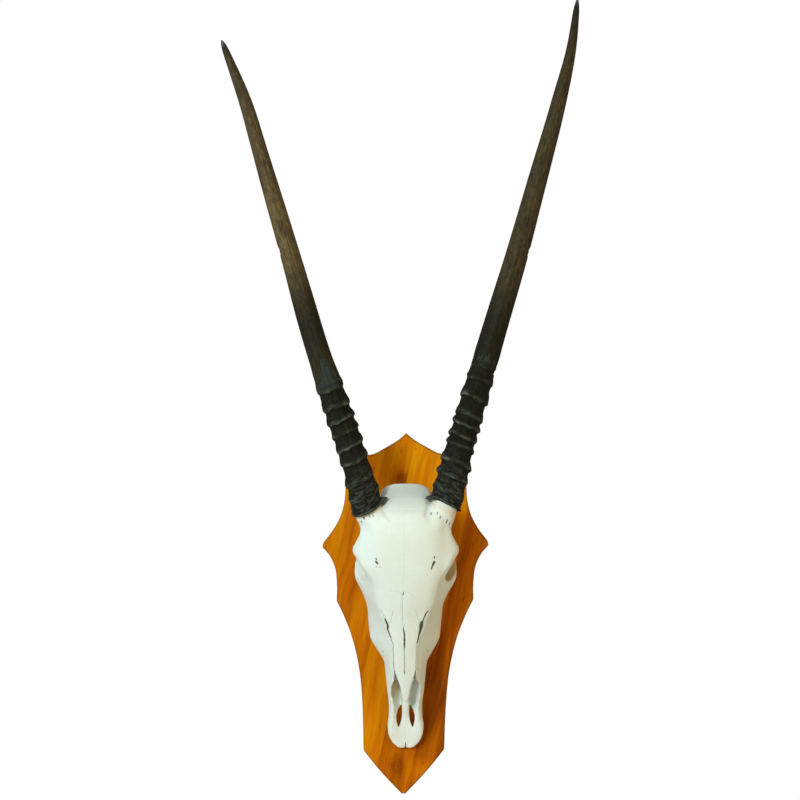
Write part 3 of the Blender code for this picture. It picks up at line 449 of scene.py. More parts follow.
# ---------------------------------------------------------------- teeth and fixings
# The cheek teeth, from the front: (z of the middle, x of the middle, length, width).
TEETH = (
    (-163.0, 31.0, 13.0, 9.5), (-148.5, 37.5, 14.5, 11.5), (-132.5, 43.0, 15.5, 13.5),
    (-114.0, 45.4, 19.5, 15.0), (-92.0, 46.0, 22.5, 15.5), (-68.5, 46.0, 22.5, 14.5),
)
TOOTH_RISE = (0.4, 20.5)
# A tooth's form turns so that its length runs up the board, its width across, and its height out of it.
TOOTH_TURN = Matrix(((0, -1, 0), (0, 0, -1), (1, 0, 0)))
TOOTH_SPACE = 0.5
TOOTH_GAP = 0.4
# A tooth's form, of unit size: its girth at shares of its height, how square it is (1 is round), the dents between
# its two lobes on the outer and inner side and their half width, the rib on each outer lobe (height, distance from
# the middle, half width), and the steps of the basin in its chewing end (width, depth).
TOOTH_LEVELS = ((0.0, 0.9), (0.03, 0.97), (0.1, 1.0), (0.4, 1.0), (0.7, 0.985), (0.9, 0.97), (1.0, 0.95))
TOOTH_SQUARE = 0.6
TOOTH_DENTS = (0.16, 0.07)
TOOTH_DENT_WIDE = 0.16
TOOTH_RIB = (0.06, 0.5, 0.12)
TOOTH_BASIN = ((0.09, 0.0), (0.05, -0.03))
# Stain on a tooth: in its middle fold (amount, half width), towards the root (amount, and from where to where), and
# in the basin (amount, radius).
FOLD_STAIN = (0.9, 0.07)
ROOT_STAIN = (0.6, 0.55, 1.0)
BASIN_STAIN = (0.7, 0.3)
# The rise that the sockets are cut from, which lies below the jaw's edge.
SOCKET_START = -5.0
SKULL_SCREWS = {"skull_screw_upper": (40.0, 50.0), "skull_screw_lower": (-112.0, 34.0)}
SCREW_SHANK_RADIUS = 2.1
SCREW_HEAD_RADIUS = 4.4
SCREW_HEAD_SINK = 1.0
SCREW_CLEARANCE = 0.35
# The depth from the board's back at which the cutters for the skull's own bores start, short of the skull.
SKULL_BORE_START = 10.0
# Each kind of screw's head and point as (depth, radius), the head's from its top or seat and the point's back from
# the tip, the width of the cross in the head, and where the thread starts and how long it is (below 0: how much
# shorter than the screw).
SKULL_SCREW_HEAD = (
    (0.0, 0.93 * SCREW_HEAD_RADIUS), (0.2, SCREW_HEAD_RADIUS), (0.7, SCREW_HEAD_RADIUS), (2.8, SCREW_SHANK_RADIUS),
)
SKULL_SCREW_POINT = ((-4.0, 0.85 * SCREW_SHANK_RADIUS), (0.0, 0.3))
SKULL_SCREW_CROSS = 4.6
SKULL_THREAD = (12.0, -17.0)
# The width and depth of a cross's arms as shares of their length, and the radius of a thread's three-sided edge.
CROSS_WIDE = 0.22
CROSS_DEEP = 0.32
THREAD_EDGE = 0.28
HANGER_Z = 84.0
HANGER_SIZE = (46.0, 22.0, 1.6)
HANGER_POCKET = (22.0, 17.0, 11.0)
HANGER_CORNER = 4.0
HANGER_SCREW_SPREAD = 16.5
HANGER_SCREW_RADIUS = 1.3
HANGER_SCREW_END = 15.0
HANGER_SCREW_HEAD = (
    (-1.4, 1.4), (-1.2, 2.2), (-0.8, 2.75), (-0.2, 3.0), (0.0, 3.0), (0.0, HANGER_SCREW_RADIUS),
)
HANGER_SCREW_POINT = ((-3.0, 0.9 * HANGER_SCREW_RADIUS), (0.0, 0.3))
HANGER_SCREW_CROSS = 2.6
HANGER_THREAD = (4.5, 7.5)
HANGER_PITCH = 0.6  # of the skull screws' pitch
HANGER_HOLE_RADIUS = 1.7
PLATE_SINK = 2.1
RECESS_GAP = 0.4
KEYHOLE_RADIUS = 5.0
KEYHOLE_SLOT = 2.6
KEYHOLE_RISE = 6.5
KEYHOLE_DROP = 2.5
PLATE_EDGE = 0.25

# ---------------------------------------------------------------- camera and stage
CAMERA_PLACE = (-0.008525, -2.220, 0.225)
CAMERA_LENS = 63.87
CAMERA_SENSOR = 36.0
FLOOR_Z = -1.5
FLOOR_RADIUS = 3.0
WORLD_LIGHT = 0.33
# Soft round lights: where each stands and looks, in metres, its size, its power in watts and its tint.
LIGHTS = {
    "key_light": ((-1.15, -2.6, 1.0), (0.0, 0.0, 0.05), 0.6, 48.0, "#F4FFFC"),
    "side_light": ((-2.7, -1.7, 0.5), (0.0, 0.0, 0.0), 2.0, 23.0, "#FAFDFF"),
    "fill_light": ((2.2, -2.0, 0.3), (0.0, 0.0, 0.1), 2.0, 20.0, "#FFCC6A"),
}


def linear(code):
    """An sRGB hex value as linear RGB."""
    found = []
    for at in (1, 3, 5):
        value = int(code[at:at + 2], 16) / 255
        found.append(value / 12.92 if value <= 0.04045 else ((value + 0.055) / 1.055) ** 2.4)
    return tuple(found)


def colour(label, code, about):
    """A colour setting for the sidebar."""
    return FloatVectorProperty(
        name=label, description=about, subtype="COLOR", size=3, min=0.0, max=1.0, default=linear(code)
    )


def length(label, size, about):
    """A size setting for the sidebar, given in millimetres."""
    return FloatProperty(name=label, description=about, default=size * MM, min=0.0, unit="LENGTH", precision=4)


class TrophySizes(bpy.types.PropertyGroup):
    bone_grain: length("Bone grain", 1.5, "Grain at which the masses of bone are fused")
    bone_mesh: length("Bone mesh", 2.0, "Edge length of the skull's mesh before its seams are cut")
    edge_round: length("Board edge", 2.6, "Radius of the shield's rounded front edge")
    horn_row: length("Horn rows", 1.8, "Distance between the rows of a horn's mesh")
    horn_sides: IntProperty(name="Horn sides", description="Faces round a horn", default=144, min=24)
    ring_share: FloatProperty(name="Ring height", description="Scales the horns' rings", default=1.0, min=0.0)
    thread_pitch: length("Thread pitch", 1.9, "Distance between the turns of the screws' threads")
    pit_radius: length("Pit", 0.75, "Largest radius of the pits in the bone collars under the horns")


class TrophyColours(bpy.types.PropertyGroup):
    bone: colour("Bone", "#E0EDEC", "Bleached bone")
    # Bone stain: old grease, and painted shade on the steep sides.
    bone_stain_and_shade: colour("Bone stain", "#D2BE86", "Old grease in the bone")
    # Bone hollow: painted shade in the openings and on faces turned to the board.
    bone_painted_shade: colour("Bone hollow", "#B4964C", "Unbleached bone inside the openings")
    horn_base: colour("Horn base", "#15170F", "Horn under its brown layer")
    horn_middle: colour("Horn middle", "#5E5135", "Brown layer of the shaft")
    horn_tip: colour("Horn tip", "#4E5860", "Horn at the tip")
    # Horn worn: the paler ring tops, partly wear and partly a painted highlight.
    horn_worn_and_highlit: colour("Horn worn", "#616B61", "Worn and dusty tops of the rings")
    wood_light: colour("Wood light", "#DE9200", "Pale growth under the stain")
    wood_middle: colour("Wood middle", "#C56A00", "Stained pine")
    wood_dark: colour("Wood dark", "#7E3A00", "Dark growth and knots")
    enamel: colour("Enamel", "#E4DBC0", "Tooth enamel")
    cement: colour("Tooth cement", "#8A6C43", "Stained cement between the tooth's ridges")
    steel: colour("Steel", "#C6C7C4", "Zinc plate")
    floor: colour("Floor", "#F1F0EC", "Studio floor")


# ---------------------------------------------------------------- shared makers


def place(z, x, rise):
    """A point of the tables as a Blender vector in metres."""
    return Vector((float(x) * MM, -(BOARD_THICKNESS + float(rise)) * MM, float(z) * MM))


def smooth_line(knots, spots):
    """Each column of the knots after the first, read at the given values of the first, with no overshoot."""
    table = np.array(knots, float)
    at, values = table[:, 0], table[:, 1:]
    steps = np.diff(at)[:, None]
    slopes = np.diff(values, axis=0) / steps
    turns = slopes[:-1] * slopes[1:] <= 0
    weight = (2 * steps[1:] + steps[:-1], steps[1:] + 2 * steps[:-1])
    with np.errstate(divide="ignore", invalid="ignore"):
        inner = (weight[0] + weight[1]) / (weight[0] / slopes[:-1] + weight[1] / slopes[1:])
    tangents = np.vstack([slopes[:1], np.where(turns, 0.0, inner), slopes[-1:]])
    spots = np.clip(np.asarray(spots, float), at[0], at[-1])
    cell = np.clip(np.searchsorted(at, spots, side="right") - 1, 0, len(at) - 2)
    share = ((spots - at[cell]) / (at[cell + 1] - at[cell]))[:, None]
    width = steps[cell]
    return (
        (1 + 2 * share) * (1 - share) ** 2 * values[cell]
        + share * (1 - share) ** 2 * width * tangents[cell]
        + share**2 * (3 - 2 * share) * values[cell + 1]
        + share**2 * (share - 1) * width * tangents[cell + 1]
    )


def curve_through(points, pieces, closed=False):
    """Points along a smooth curve through the given ones, with so many pieces between each two."""
    points = np.array(points, float)
    if closed:
        points = np.vstack([points[-1:], points, points[:2]])
    else:
        points = np.vstack([2 * points[0] - points[1], points, 2 * points[-1] - points[-2]])
    found = []
    for before, start, end, after in zip(points, points[1:], points[2:], points[3:]):
        for step in range(pieces):
            t = step / pieces
            found.append(
                0.5 * (2 * start + (end - before) * t + (2 * before - 5 * start + 4 * end - after) * t**2
                       + (3 * start - before - 3 * end + after) * t**3)
            )
    if not closed:
        found.append(points[-2])
    return np.array(found)


def loft(work, rings):
    """Joins rings of as many points into one closed skin, with a cap on each end."""
    rows = [[work.verts.new(point) for point in ring] for ring in rings]
    count = len(rows[0])
    for low, high in zip(rows, rows[1:]):
        for i in range(count):
            j = (i + 1) % count
            work.faces.new((low[i], low[j], high[j], high[i]))
    work.faces.new(list(reversed(rows[0])))
    work.faces.new(rows[-1])


def sweep(work, path, side, sides=16):
    """A round rod along a path of (z, x, rise, radius), on the side that the sign of x gives."""
    knots = curve_through(path, 6)
    centres = [place(z, side * x, rise) for z, x, rise, _ in knots]
    rings = []
    for i, centre in enumerate(centres):
        along = (centres[min(i + 1, len(centres) - 1)] - centres[max(i - 1, 0)]).normalized()
        across = along.cross(Vector((0, 1, 0)) if abs(along.y) < 0.8 else Vector((1, 0, 0))).normalized()
        up = across.cross(along)
        radius = float(knots[i][3]) * MM
        turns = [2 * math.pi * k / sides for k in range(sides)]
        rings.append([centre + radius * (math.cos(t) * across + math.sin(t) * up) for t in turns])
    loft(work, rings)


def egg(work, shape, side):
    """A closed egg with its middle and half sizes given as (z, x, rise)."""
    (z, x, rise), (half_z, half_x, half_rise) = shape
    made = bmesh.ops.create_uvsphere(work, u_segments=32, v_segments=20, radius=1.0)
    middle = place(z, side * x, rise)
    for vert in made["verts"]:
        stretch = (vert.co.x * half_x, vert.co.y * half_rise, vert.co.z * half_z)
        vert.co = middle + MM * Vector(stretch)


def linked(name, data):
    """A new object in the scene."""
    made = bpy.data.objects.new(name, data)
    bpy.context.scene.collection.objects.link(made)
    return made


def finished(name, work, material=None):
    """Turns a bmesh into an object whose faces point outwards."""
    bmesh.ops.recalc_face_normals(work, faces=work.faces)
    mesh = bpy.data.meshes.new(name)
    work.to_mesh(mesh)
    work.free()
    if material:
        mesh.materials.append(material)
    return linked(name, mesh)


def outward(mesh):
    """Turns all faces of a mesh outwards."""
    work = bmesh.new()
    work.from_mesh(mesh)
    bmesh.ops.recalc_face_normals(work, faces=work.faces)
    work.to_mesh(mesh)
    work.free()


def boolean(target, *tools, operation="DIFFERENCE", solver="MANIFOLD"):
    """Cuts each tool out of the target, or joins it on."""
    for tool in tools:
        modifier = target.modifiers.new(tool.name, "BOOLEAN")
        modifier.operation = operation
        modifier.solver = solver
        modifier.object = tool


def voxels(target, size):
    """Fuses the target's overlapping parts into one skin of the given grain."""
    modifier = target.modifiers.new("voxels", "REMESH")
    modifier.mode = "VOXEL"
    modifier.voxel_size = size
    modifier.use_smooth_shade = True


def smoothed(target, turns, group=""):
    """Smooths the target, or a group of its vertices."""
    modifier = target.modifiers.new("smooth", "SMOOTH")
    modifier.factor = 0.5
    modifier.iterations = turns
    modifier.vertex_group = group


def baked(target, *tools):
    """Applies the modifiers, takes away the tools they used, and leaves a plain mesh."""
    bpy.context.view_layer.update()
    graph = bpy.context.evaluated_depsgraph_get()
    mesh = bpy.data.meshes.new_from_object(target.evaluated_get(graph))
    target.modifiers.clear()
    target.data = mesh
    for tool in tools:
        bpy.data.objects.remove(tool, do_unlink=True)


def wire(tree, node, wires):
    """Links a node's inputs to the given sockets, and sets the others to the given values."""
    for key, value in wires.items():
        socket = node.inputs[key]
        if isinstance(value, bpy.types.NodeSocket):
            tree.links.new(value, socket)
        else:
            socket.default_value = (*value, 1.0) if socket.type == "RGBA" else value


def add(tree, kind, wires=None, out=0, stops=(), **settings):
    """Adds a node with its settings, values, links and colour stops, and gives one of its outputs."""
    made = tree.nodes.new(kind)
    for name, value in settings.items():
        setattr(made, name, value)
    wire(tree, made, wires or {})
    for number, (at, tint) in enumerate(stops):
        elements = made.color_ramp.elements
        element = elements[number] if number < 2 else elements.new(at)
        element.position, element.color = at, (*tint, 1.0)
    return made.outputs[out] if made.outputs else None


def geometry_tree(name, inputs):
    """A Geometry Nodes tree with named inputs: (name, socket type, default). Returns it and its input node."""
    tree = bpy.data.node_groups.new(name, "GeometryNodeTree")
    tree.interface.new_socket("Geometry", in_out="INPUT", socket_type="NodeSocketGeometry")
    for label, kind, default in inputs:
        socket = tree.interface.new_socket(label, in_out="INPUT", socket_type=kind)
        if default is not None:
            socket.default_value = default
    tree.interface.new_socket("Geometry", in_out="OUTPUT", socket_type="NodeSocketGeometry")
    return tree, tree.nodes.new("NodeGroupInput")


def end_tree(tree, geometry, material):
    """Ends a tree: the instances become real, with their material."""
    real = add(tree, "GeometryNodeRealizeInstances", {"Geometry": geometry})
    dressed = add(tree, "GeometryNodeSetMaterial", {"Geometry": real, "Material": material})
    add(tree, "NodeGroupOutput", {"Geometry": dressed})


def grown(name, base, tree, values):
    """Runs a tree on a base mesh with the given inputs, and keeps the result as a plain mesh."""
    made = linked(name, base)
    modifier = made.modifiers.new(tree.name, "NODES")
    modifier.node_group = tree
    sockets = {item.name: item.identifier for item in tree.interface.items_tree if item.in_out == "INPUT"}
    for label, value in values.items():
        modifier[sockets[label]] = value
    baked(made)
    return made


def ready(made, slot, *nodes, smooth_angle=None):
    """Hands a finished piece to the frame: it rides on the body and stands for its nodes."""
    if smooth_angle is not None:
        made.data.shade_smooth()
        made.data.set_sharp_from_angle(angle=math.radians(smooth_angle))
    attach(made, BODY)
    if nodes:
        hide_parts(*nodes)


def attribute(mesh, name, values, domain="POINT"):
    """Stores a value or a vector for each vertex or face."""
    values = np.asarray(values, np.float32)
    kind, key = ("FLOAT", "value") if values.ndim == 1 else ("FLOAT_VECTOR", "vector")
    mesh.attributes.new(name, kind, domain).data.foreach_set(key, values.ravel())


def vertex_array(mesh, kind="co"):
    """The mesh's vertices as an array."""
    found = np.empty(len(mesh.vertices) * 3, np.float32)
    if kind == "co":
        mesh.vertices.foreach_get("co", found)
    else:
        mesh.vertex_normals.foreach_get("vector", found)
    return found.reshape(-1, 3).astype(float)


def table_places(points):
    """The places of points in the tables' terms: x, rise and z, each as an array in mm."""
    return points[:, 0] / MM, -points[:, 1] / MM - BOARD_THICKNESS, points[:, 2] / MM


def ease(values, low, high):
    """0 below low, 1 above high, and smooth between."""
    share = np.clip((values - low) / (high - low), 0.0, 1.0)
    return share * share * (3 - 2 * share)


def within(values, low, fade_in, high, fade_out):
    """1 between two bounds and 0 outside them, with a smooth fade inside each."""
    return ease(values, low, low + fade_in) * ease(high - values, 0.0, fade_out)


def bump_at(gap, width, power=2):
    """1 at no gap, and falling off smoothly beyond the width."""
    return np.exp(-((gap / width) ** power))


def turn_gap(degrees, angle):
    """How far a turn round the horn lies from an angle, in degrees."""
    return np.abs((degrees - angle + 180) % 360 - 180)


# ---------------------------------------------------------------- materials


def shader_of(name):
    """A new material with its tree and its Principled shader."""
    material = bpy.data.materials.new(name)
    material.use_nodes = True
    tree = material.node_tree
    return material, tree, tree.nodes["Principled BSDF"]


NOISE, MAPPING, RANGE, MIX = "ShaderNodeTexNoise", "ShaderNodeMapping", "ShaderNodeMapRange", "ShaderNodeMix"
MATHS, RAMP, ATTRIBUTE, BUMP = "ShaderNodeMath", "ShaderNodeValToRGB", "ShaderNodeAttribute", "ShaderNodeBump"


def overlaid(tree, tint, *layers):
    """Lays colours over a first one, each through its mask."""
    for mask, over in layers:
        tint = add(tree, MIX, {0: mask, 6: tint, 7: over}, 2, data_type="RGBA")
    return tint


def bumped(tree, *layers):
    """Lays bumps over one another, each with its height, its depth in mm and its strength."""
    under = {}
    for height, deep, strength in layers:
        wires = {"Height": height, "Distance": deep * MM, "Strength": strength}
        under = {"Normal": add(tree, BUMP, {**wires, **under})}
    return under["Normal"]


def bleached_bone(tints):
    """Bone boiled clean and bleached: chalky and matt, with old grease, painted shade yellowing its steep sides, and
    painted shade browning its openings and the faces turned to the board.
    """
    material, tree, shader = shader_of("bleached_bone")
    where = add(tree, "ShaderNodeTexCoord", out="Object")
    stain, hollow, seam = (add(tree, ATTRIBUTE, out="Fac", attribute_name=n) for n in ("stain", "hollow", "seam"))
    # Clouds of old grease about 40 mm across, and mottling about 6 mm across.
    clouds = add(tree, NOISE, {"Vector": where, "Scale": 25.0, "Detail": 3.0, "Roughness": 0.55})
    mottle = add(tree, NOISE, {"Vector": where, "Scale": 160.0, "Detail": 4.0, "Roughness": 0.6})
    cloudy = add(tree, RANGE, {0: clouds, 1: 0.48, 2: 0.8, 4: 0.12})
    spotty = add(tree, RANGE, {0: mottle, 1: 0.45, 2: 0.75, 4: 0.1})
    patchy = add(tree, MATHS, {0: cloudy, 1: spotty})
    grease_and_painted_shade = add(tree, MATHS, {0: patchy, 1: stain}, use_clamp=True)
    # Over the bone: grease, and painted shade on the steep sides; painted shade in the openings and on faces turned
    # to the board; and the seams, dark as joints and as painted shade in holes and pits.
    tint = overlaid(
        tree, tints.bone, (grease_and_painted_shade, tints.bone_stain_and_shade), (hollow, tints.bone_painted_shade), (seam, linear("#2B2417")),
    )
    # Pores of about 0.5 mm, drawn as 1.2 mm so that they show, and fibres along the bone.
    pores = add(tree, NOISE, {"Vector": where, "Scale": 850.0, "Detail": 3.0, "Roughness": 0.6})
    drawn = add(tree, MAPPING, {"Vector": where, "Scale": (420.0, 420.0, 60.0)})
    fibres = add(tree, NOISE, {"Vector": drawn, "Scale": 1.0, "Detail": 3.0})
    rough = add(tree, RANGE, {0: mottle, 3: 0.5, 4: 0.66})
    normal = bumped(tree, (clouds, 2.0, 0.3), (fibres, 0.35, 0.3), (pores, 0.35, 0.35))
    wire(tree, shader, {
        "Base Color": tint, "Roughness": rough, "Normal": normal, "IOR": 1.54, "Specular IOR Level": 0.3,
    })
    return material


def dark_horn(tints):
    """A keratin sheath: fibrous and faintly glossy, near black with grey ring tops low down, partly worn and partly a
    painted highlight, and browner above.
    """
    material, tree, shader = shader_of("dark_horn")
    straight = add(tree, ATTRIBUTE, out="Vector", attribute_name="straight")
    share, crest, groove, brown, bare = (
        add(tree, ATTRIBUTE, out="Fac", attribute_name=name) for name in ("share", "crest", "groove", "brown", "bare")
    )
    bundles, threads, wrinkles, blotches, patches, mottle = (
        add(tree, NOISE, {"Vector": add(tree, MAPPING, {"Vector": straight, "Scale": scale}), "Scale": 1.0, **more})
        for scale, more in (
            # Fibres run the horn's length: bundles about 3 mm wide and 60 mm long, and fine ones of 0.8 mm by 30 mm.
            ((330.0, 330.0, 16.0), {"Detail": 4.0, "Roughness": 0.55, "Distortion": 0.6}),
            ((1250.0, 1250.0, 34.0), {"Detail": 3.0, "Roughness": 0.6}),
            # Wrinkles run round it low down, about 2 mm apart.
            ((45.0, 45.0, 480.0), {"Detail": 3.0, "Distortion": 0.8}),
            # Dark blotches of about 17 mm by 45 mm.
            ((60.0, 60.0, 22.0), {"Detail": 4.0, "Roughness": 0.6}),
            # Dried dirt and flaking skin low down, in streaks round the horn of about 4 mm by 12 mm.
            ((85.0, 85.0, 290.0), {"Detail": 5.0, "Roughness": 0.7, "Distortion": 0.25}),
            # Mottling of about 4 mm by 8 mm along the shaft.
            ((270.0, 270.0, 120.0), {"Detail": 4.0, "Roughness": 0.65}),
        )
    )
    # Pale dust lies low down in specks of about 1.5 mm.
    specks = add(tree, NOISE, {"Vector": straight, "Scale": 620.0, "Detail": 2.0, "Roughness": 0.7})
    low_down = add(tree, RANGE, {0: share, 1: 0.3, 2: 0.24})
    # Brown streaks over the black, and a blue-grey tip, all broken up by pale and dark threads.
    streaky = add(tree, RANGE, {0: bundles, 1: 0.3, 2: 0.7, 3: -0.35, 4: 0.3})
    streaks = add(tree, MATHS, {0: streaky, 1: brown}, operation="MULTIPLY")
    browned = add(tree, MATHS, {0: brown, 1: streaks}, use_clamp=True)
    at_tip = add(tree, RANGE, {0: share, 1: 0.982, 2: 0.996})
    tipped = overlaid(tree, tints.horn_base, (browned, tints.horn_middle), (at_tip, tints.horn_tip))
    lines = add(tree, RANGE, {0: threads, 1: 0.3, 2: 0.7, 3: 0.68, 4: 1.3})
    spots = add(tree, RANGE, {0: mottle, 1: 0.36, 2: 0.64, 3: 0.68, 4: 1.32})
    tones = add(tree, MATHS, {0: lines, 1: spots}, operation="MULTIPLY")
    lined = add(tree, MIX, {0: 1.0, 6: tipped, 7: tones}, 2, data_type="RGBA", blend_type="MULTIPLY")
    # Over that the dark blotches, the bare blue-grey layer, the ring tops with their wear and painted highlight, the
    # dust and the painted shadow under the rings.
    blotted = add(tree, RANGE, {0: blotches, 1: 0.52, 2: 0.75, 4: 0.7})
    ragged = add(tree, RANGE, {0: wrinkles, 1: 0.3, 2: 0.62, 3: 0.35, 4: 1.0})
    frayed = add(tree, MATHS, {0: crest, 1: ragged}, operation="MULTIPLY")
    torn = add(tree, RANGE, {0: patches, 1: 0.36, 2: 0.6, 3: 0.1, 4: 1.15})
    worn = add(tree, MATHS, {0: frayed, 1: torn}, operation="MULTIPLY")
    gritty = add(tree, RANGE, {0: specks, 1: 0.4, 2: 0.6, 3: 0.25, 4: 1.0})
    caked = add(tree, RANGE, {0: patches, 1: 0.47, 2: 0.66})
    dusty = add(tree, MATHS, {0: caked, 1: gritty}, operation="MULTIPLY")
    near_rim = add(tree, RANGE, {0: share, 1: 0.11, 2: 0.01, 4: 0.8})
    dusted = add(tree, MATHS, {0: near_rim, 1: dusty}, operation="MULTIPLY")
    # Painted shadow under each ring, and painted shade in the rim's groove.
    shaded = add(tree, MATHS, {0: groove, 1: 0.85}, operation="MULTIPLY")
    tint = overlaid(
        tree, lined, (blotted, linear("#0F100B")), (bare, linear("#29322F")), (worn, tints.horn_worn_and_highlit),
        (dusted, linear("#5F6B67")), (shaded, linear("#0C0D08")),
    )
    rough = add(tree, RANGE, {0: bundles, 3: 0.5, 4: 0.8})
    normal = bumped(
        tree, (wrinkles, 1.0, low_down), (patches, 1.3, low_down), (bundles, 0.8, 0.5), (threads, 0.35, 0.5),
    )
    wire(tree, shader, {
        "Base Color": tint, "Roughness": rough, "Normal": normal, "IOR": 1.54, "Specular IOR Level": 0.12,
    })
    return material


def oval_reach(tree, where, middle, half):
    """How far each place lies from an oval's middle, 1 at its edge."""
    (x, z), (wide, tall) = middle, half
    centred = add(tree, MAPPING, {
        "Vector": where, "Scale": (1 / (wide * MM), 0.0, 1 / (tall * MM)), "Location": (-x / wide, 0.0, -z / tall),
    })
    return add(tree, "ShaderNodeVectorMath", {0: centred}, 1, operation="LENGTH")


def stained_pine(tints):
    """Glued pine strips under an orange stain: broad soft streaks, dark flecks and ringed knots, and little gloss."""
    material, tree, shader = shader_of("stained_pine")
    where = add(tree, "ShaderNodeTexCoord", out="Object")
    edge = add(tree, ATTRIBUTE, out="Fac", attribute_name="edge")
    x = add(tree, "ShaderNodeSeparateXYZ", {0: where})
    z = add(tree, "ShaderNodeSeparateXYZ", {0: where}, 2)
    lifted = add(tree, MATHS, {0: z, 1: STRIP_LEVEL * MM}, operation="SUBTRACT")
    across = add(tree, MATHS, {0: lifted, 1: -STRIP_LEAN, 2: x}, operation="MULTIPLY_ADD")
    # Each strip has its tone, read off a ramp with a step at each edge.
    low, high = STRIPS[0][0], -STRIPS[0][0]
    stops = []
    for (at, tone), (end, _) in zip(STRIPS, STRIPS[1:] + ((high, 0.0),)):
        for spot in (at + STRIP_STEP, end - STRIP_STEP):
            stops.append(((spot - low) / (high - low), (0.5 + tone,) * 3))
    tone = add(tree, RAMP, {"Fac": add(tree, RANGE, {0: across, 1: low * MM, 2: high * MM})}, stops=stops)
    spread = add(tree, MATHS, {0: tone, 1: 3.0}, operation="MULTIPLY")
    laid = add(tree, "ShaderNodeCombineXYZ", {0: across, 1: spread, 2: z})
    # Growth streaks about 30 mm wide and 300 mm long, finer ones of 8 mm, and fibres of 1.4 mm.
    bend = add(tree, NOISE, {"Vector": laid, "Scale": 9.0, "Detail": 1.0})
    swayed = add(tree, MATHS, {0: bend, 1: 0.02, 2: across}, operation="MULTIPLY_ADD")
    bent = add(tree, "ShaderNodeCombineXYZ", {0: swayed, 1: spread, 2: z})
    growth, streaks, fibres, flecks = (
        add(tree, NOISE, {
            "Vector": add(tree, MAPPING, {"Vector": bent, "Scale": (thin, thin, tall)}), "Scale": 1.0, "Detail": 3.0,
        })
        for thin, tall in ((30.0, 4.0), (110.0, 9.0), (700.0, 22.0), (240.0, 55.0))
    )
    broad = add(tree, MATHS, {0: growth, 1: 0.6}, operation="MULTIPLY")
    both = add(tree, MATHS, {0: streaks, 1: 0.4, 2: broad}, operation="MULTIPLY_ADD")
    toned = add(tree, MATHS, {0: both, 1: add(tree, MATHS, {0: tone, 1: 0.5}, operation="SUBTRACT")})
    # The lower board is browner.
    run = add(tree, RANGE, {0: z, 1: -0.36, 2: 0.14, 3: -0.04, 4: 0.13})
    # Then the broad patches of painted shadow and painted light.
    for middle, half, amount in PAINTED_SHADING:
        painted_shading_patch = add(tree, RANGE, {0: oval_reach(tree, where, middle, half), 1: 1.0, 2: 0.1, 4: amount})
        run = add(tree, MATHS, {0: run, 1: painted_shading_patch})
    wood = add(tree, RAMP, {"Fac": add(tree, MATHS, {0: toned, 1: run})}, stops=(
        (0.22, tints.wood_dark), (0.5, tints.wood_middle), (0.76, tints.wood_light),
    ))
    lines = add(tree, RANGE, {0: fibres, 1: 0.3, 2: 0.65, 3: 0.82, 4: 1.06})
    lined = add(tree, MIX, {0: 1.0, 6: wood, 7: lines}, 2, data_type="RGBA", blend_type="MULTIPLY")
    fleck = add(tree, RANGE, {0: flecks, 1: 0.68, 2: 0.78, 4: 0.8})
    worked = overlaid(tree, lined, (fleck, linear("#522400")))
    wavy = add(tree, NOISE, {"Vector": where, "Scale": 70.0, "Detail": 2.0})
    for middle, half, end in KNOTS:
        reach = oval_reach(tree, where, middle, half)
        far = add(tree, MATHS, {0: reach, 1: add(tree, RANGE, {0: wavy, 3: -0.3, 4: 0.3})})
        rings = add(tree, MATHS, {0: add(tree, MATHS, {0: far, 1: 23.0}, operation="MULTIPLY")}, operation="SINE")
        ring = add(tree, RANGE, {0: rings, 1: -1.0, 2: 1.0, 3: 0.55, 4: 1.0})
        near = add(tree, RANGE, {0: far, 1: 1.1, 2: 0.45, 4: 0.65})
        cut = add(tree, RANGE, {0: across, 1: (end + KNOT_CUT) * MM, 2: (end - KNOT_CUT) * MM})
        ringed = add(tree, MATHS, {0: near, 1: ring}, operation="MULTIPLY")
        mask = add(tree, MATHS, {0: ringed, 1: cut}, operation="MULTIPLY")
        worked = overlaid(tree, worked, (mask, linear("#743400")))
    # The rim is darker: partly stain, partly painted shade.
    rim = add(tree, MATHS, {0: edge, 1: 0.6}, operation="MULTIPLY")
    tint = overlaid(tree, worked, (rim, linear("#542600")))
    rough = add(tree, RANGE, {0: streaks, 3: 0.5, 4: 0.7})
    normal = bumped(tree, (streaks, 0.6, 0.25), (fibres, 0.25, 0.25))
    wire(tree, shader, {"Base Color": tint, "Roughness": rough, "Normal": normal, "Specular IOR Level": 0.04})
    return material


def tooth_enamel(tints):
    """Enamel ridges with stained cement in their folds: glossy, cream, and brown towards the gum."""
    material, tree, shader = shader_of("tooth_enamel")
    where = add(tree, "ShaderNodeTexCoord", out="Object")
    fold = add(tree, ATTRIBUTE, out="Fac", attribute_name="fold")
    drawn = add(tree, MAPPING, {"Vector": where, "Scale": (700.0, 90.0, 700.0)})
    lines = add(tree, NOISE, {"Vector": drawn, "Scale": 1.0, "Detail": 3.0, "Roughness": 0.6})
    stained = add(tree, RANGE, {0: lines, 1: 0.45, 2: 0.85, 4: 0.5})
    cement = add(tree, MATHS, {0: fold, 1: stained}, use_clamp=True)
    tint = overlaid(tree, tints.enamel, (cement, tints.cement))
    rough = add(tree, RANGE, {0: lines, 3: 0.2, 4: 0.5})
    normal = bumped(tree, (lines, 0.3, 0.5))
    wire(tree, shader, {"Base Color": tint, "Roughness": rough, "Normal": normal, "IOR": 1.62})
    return material


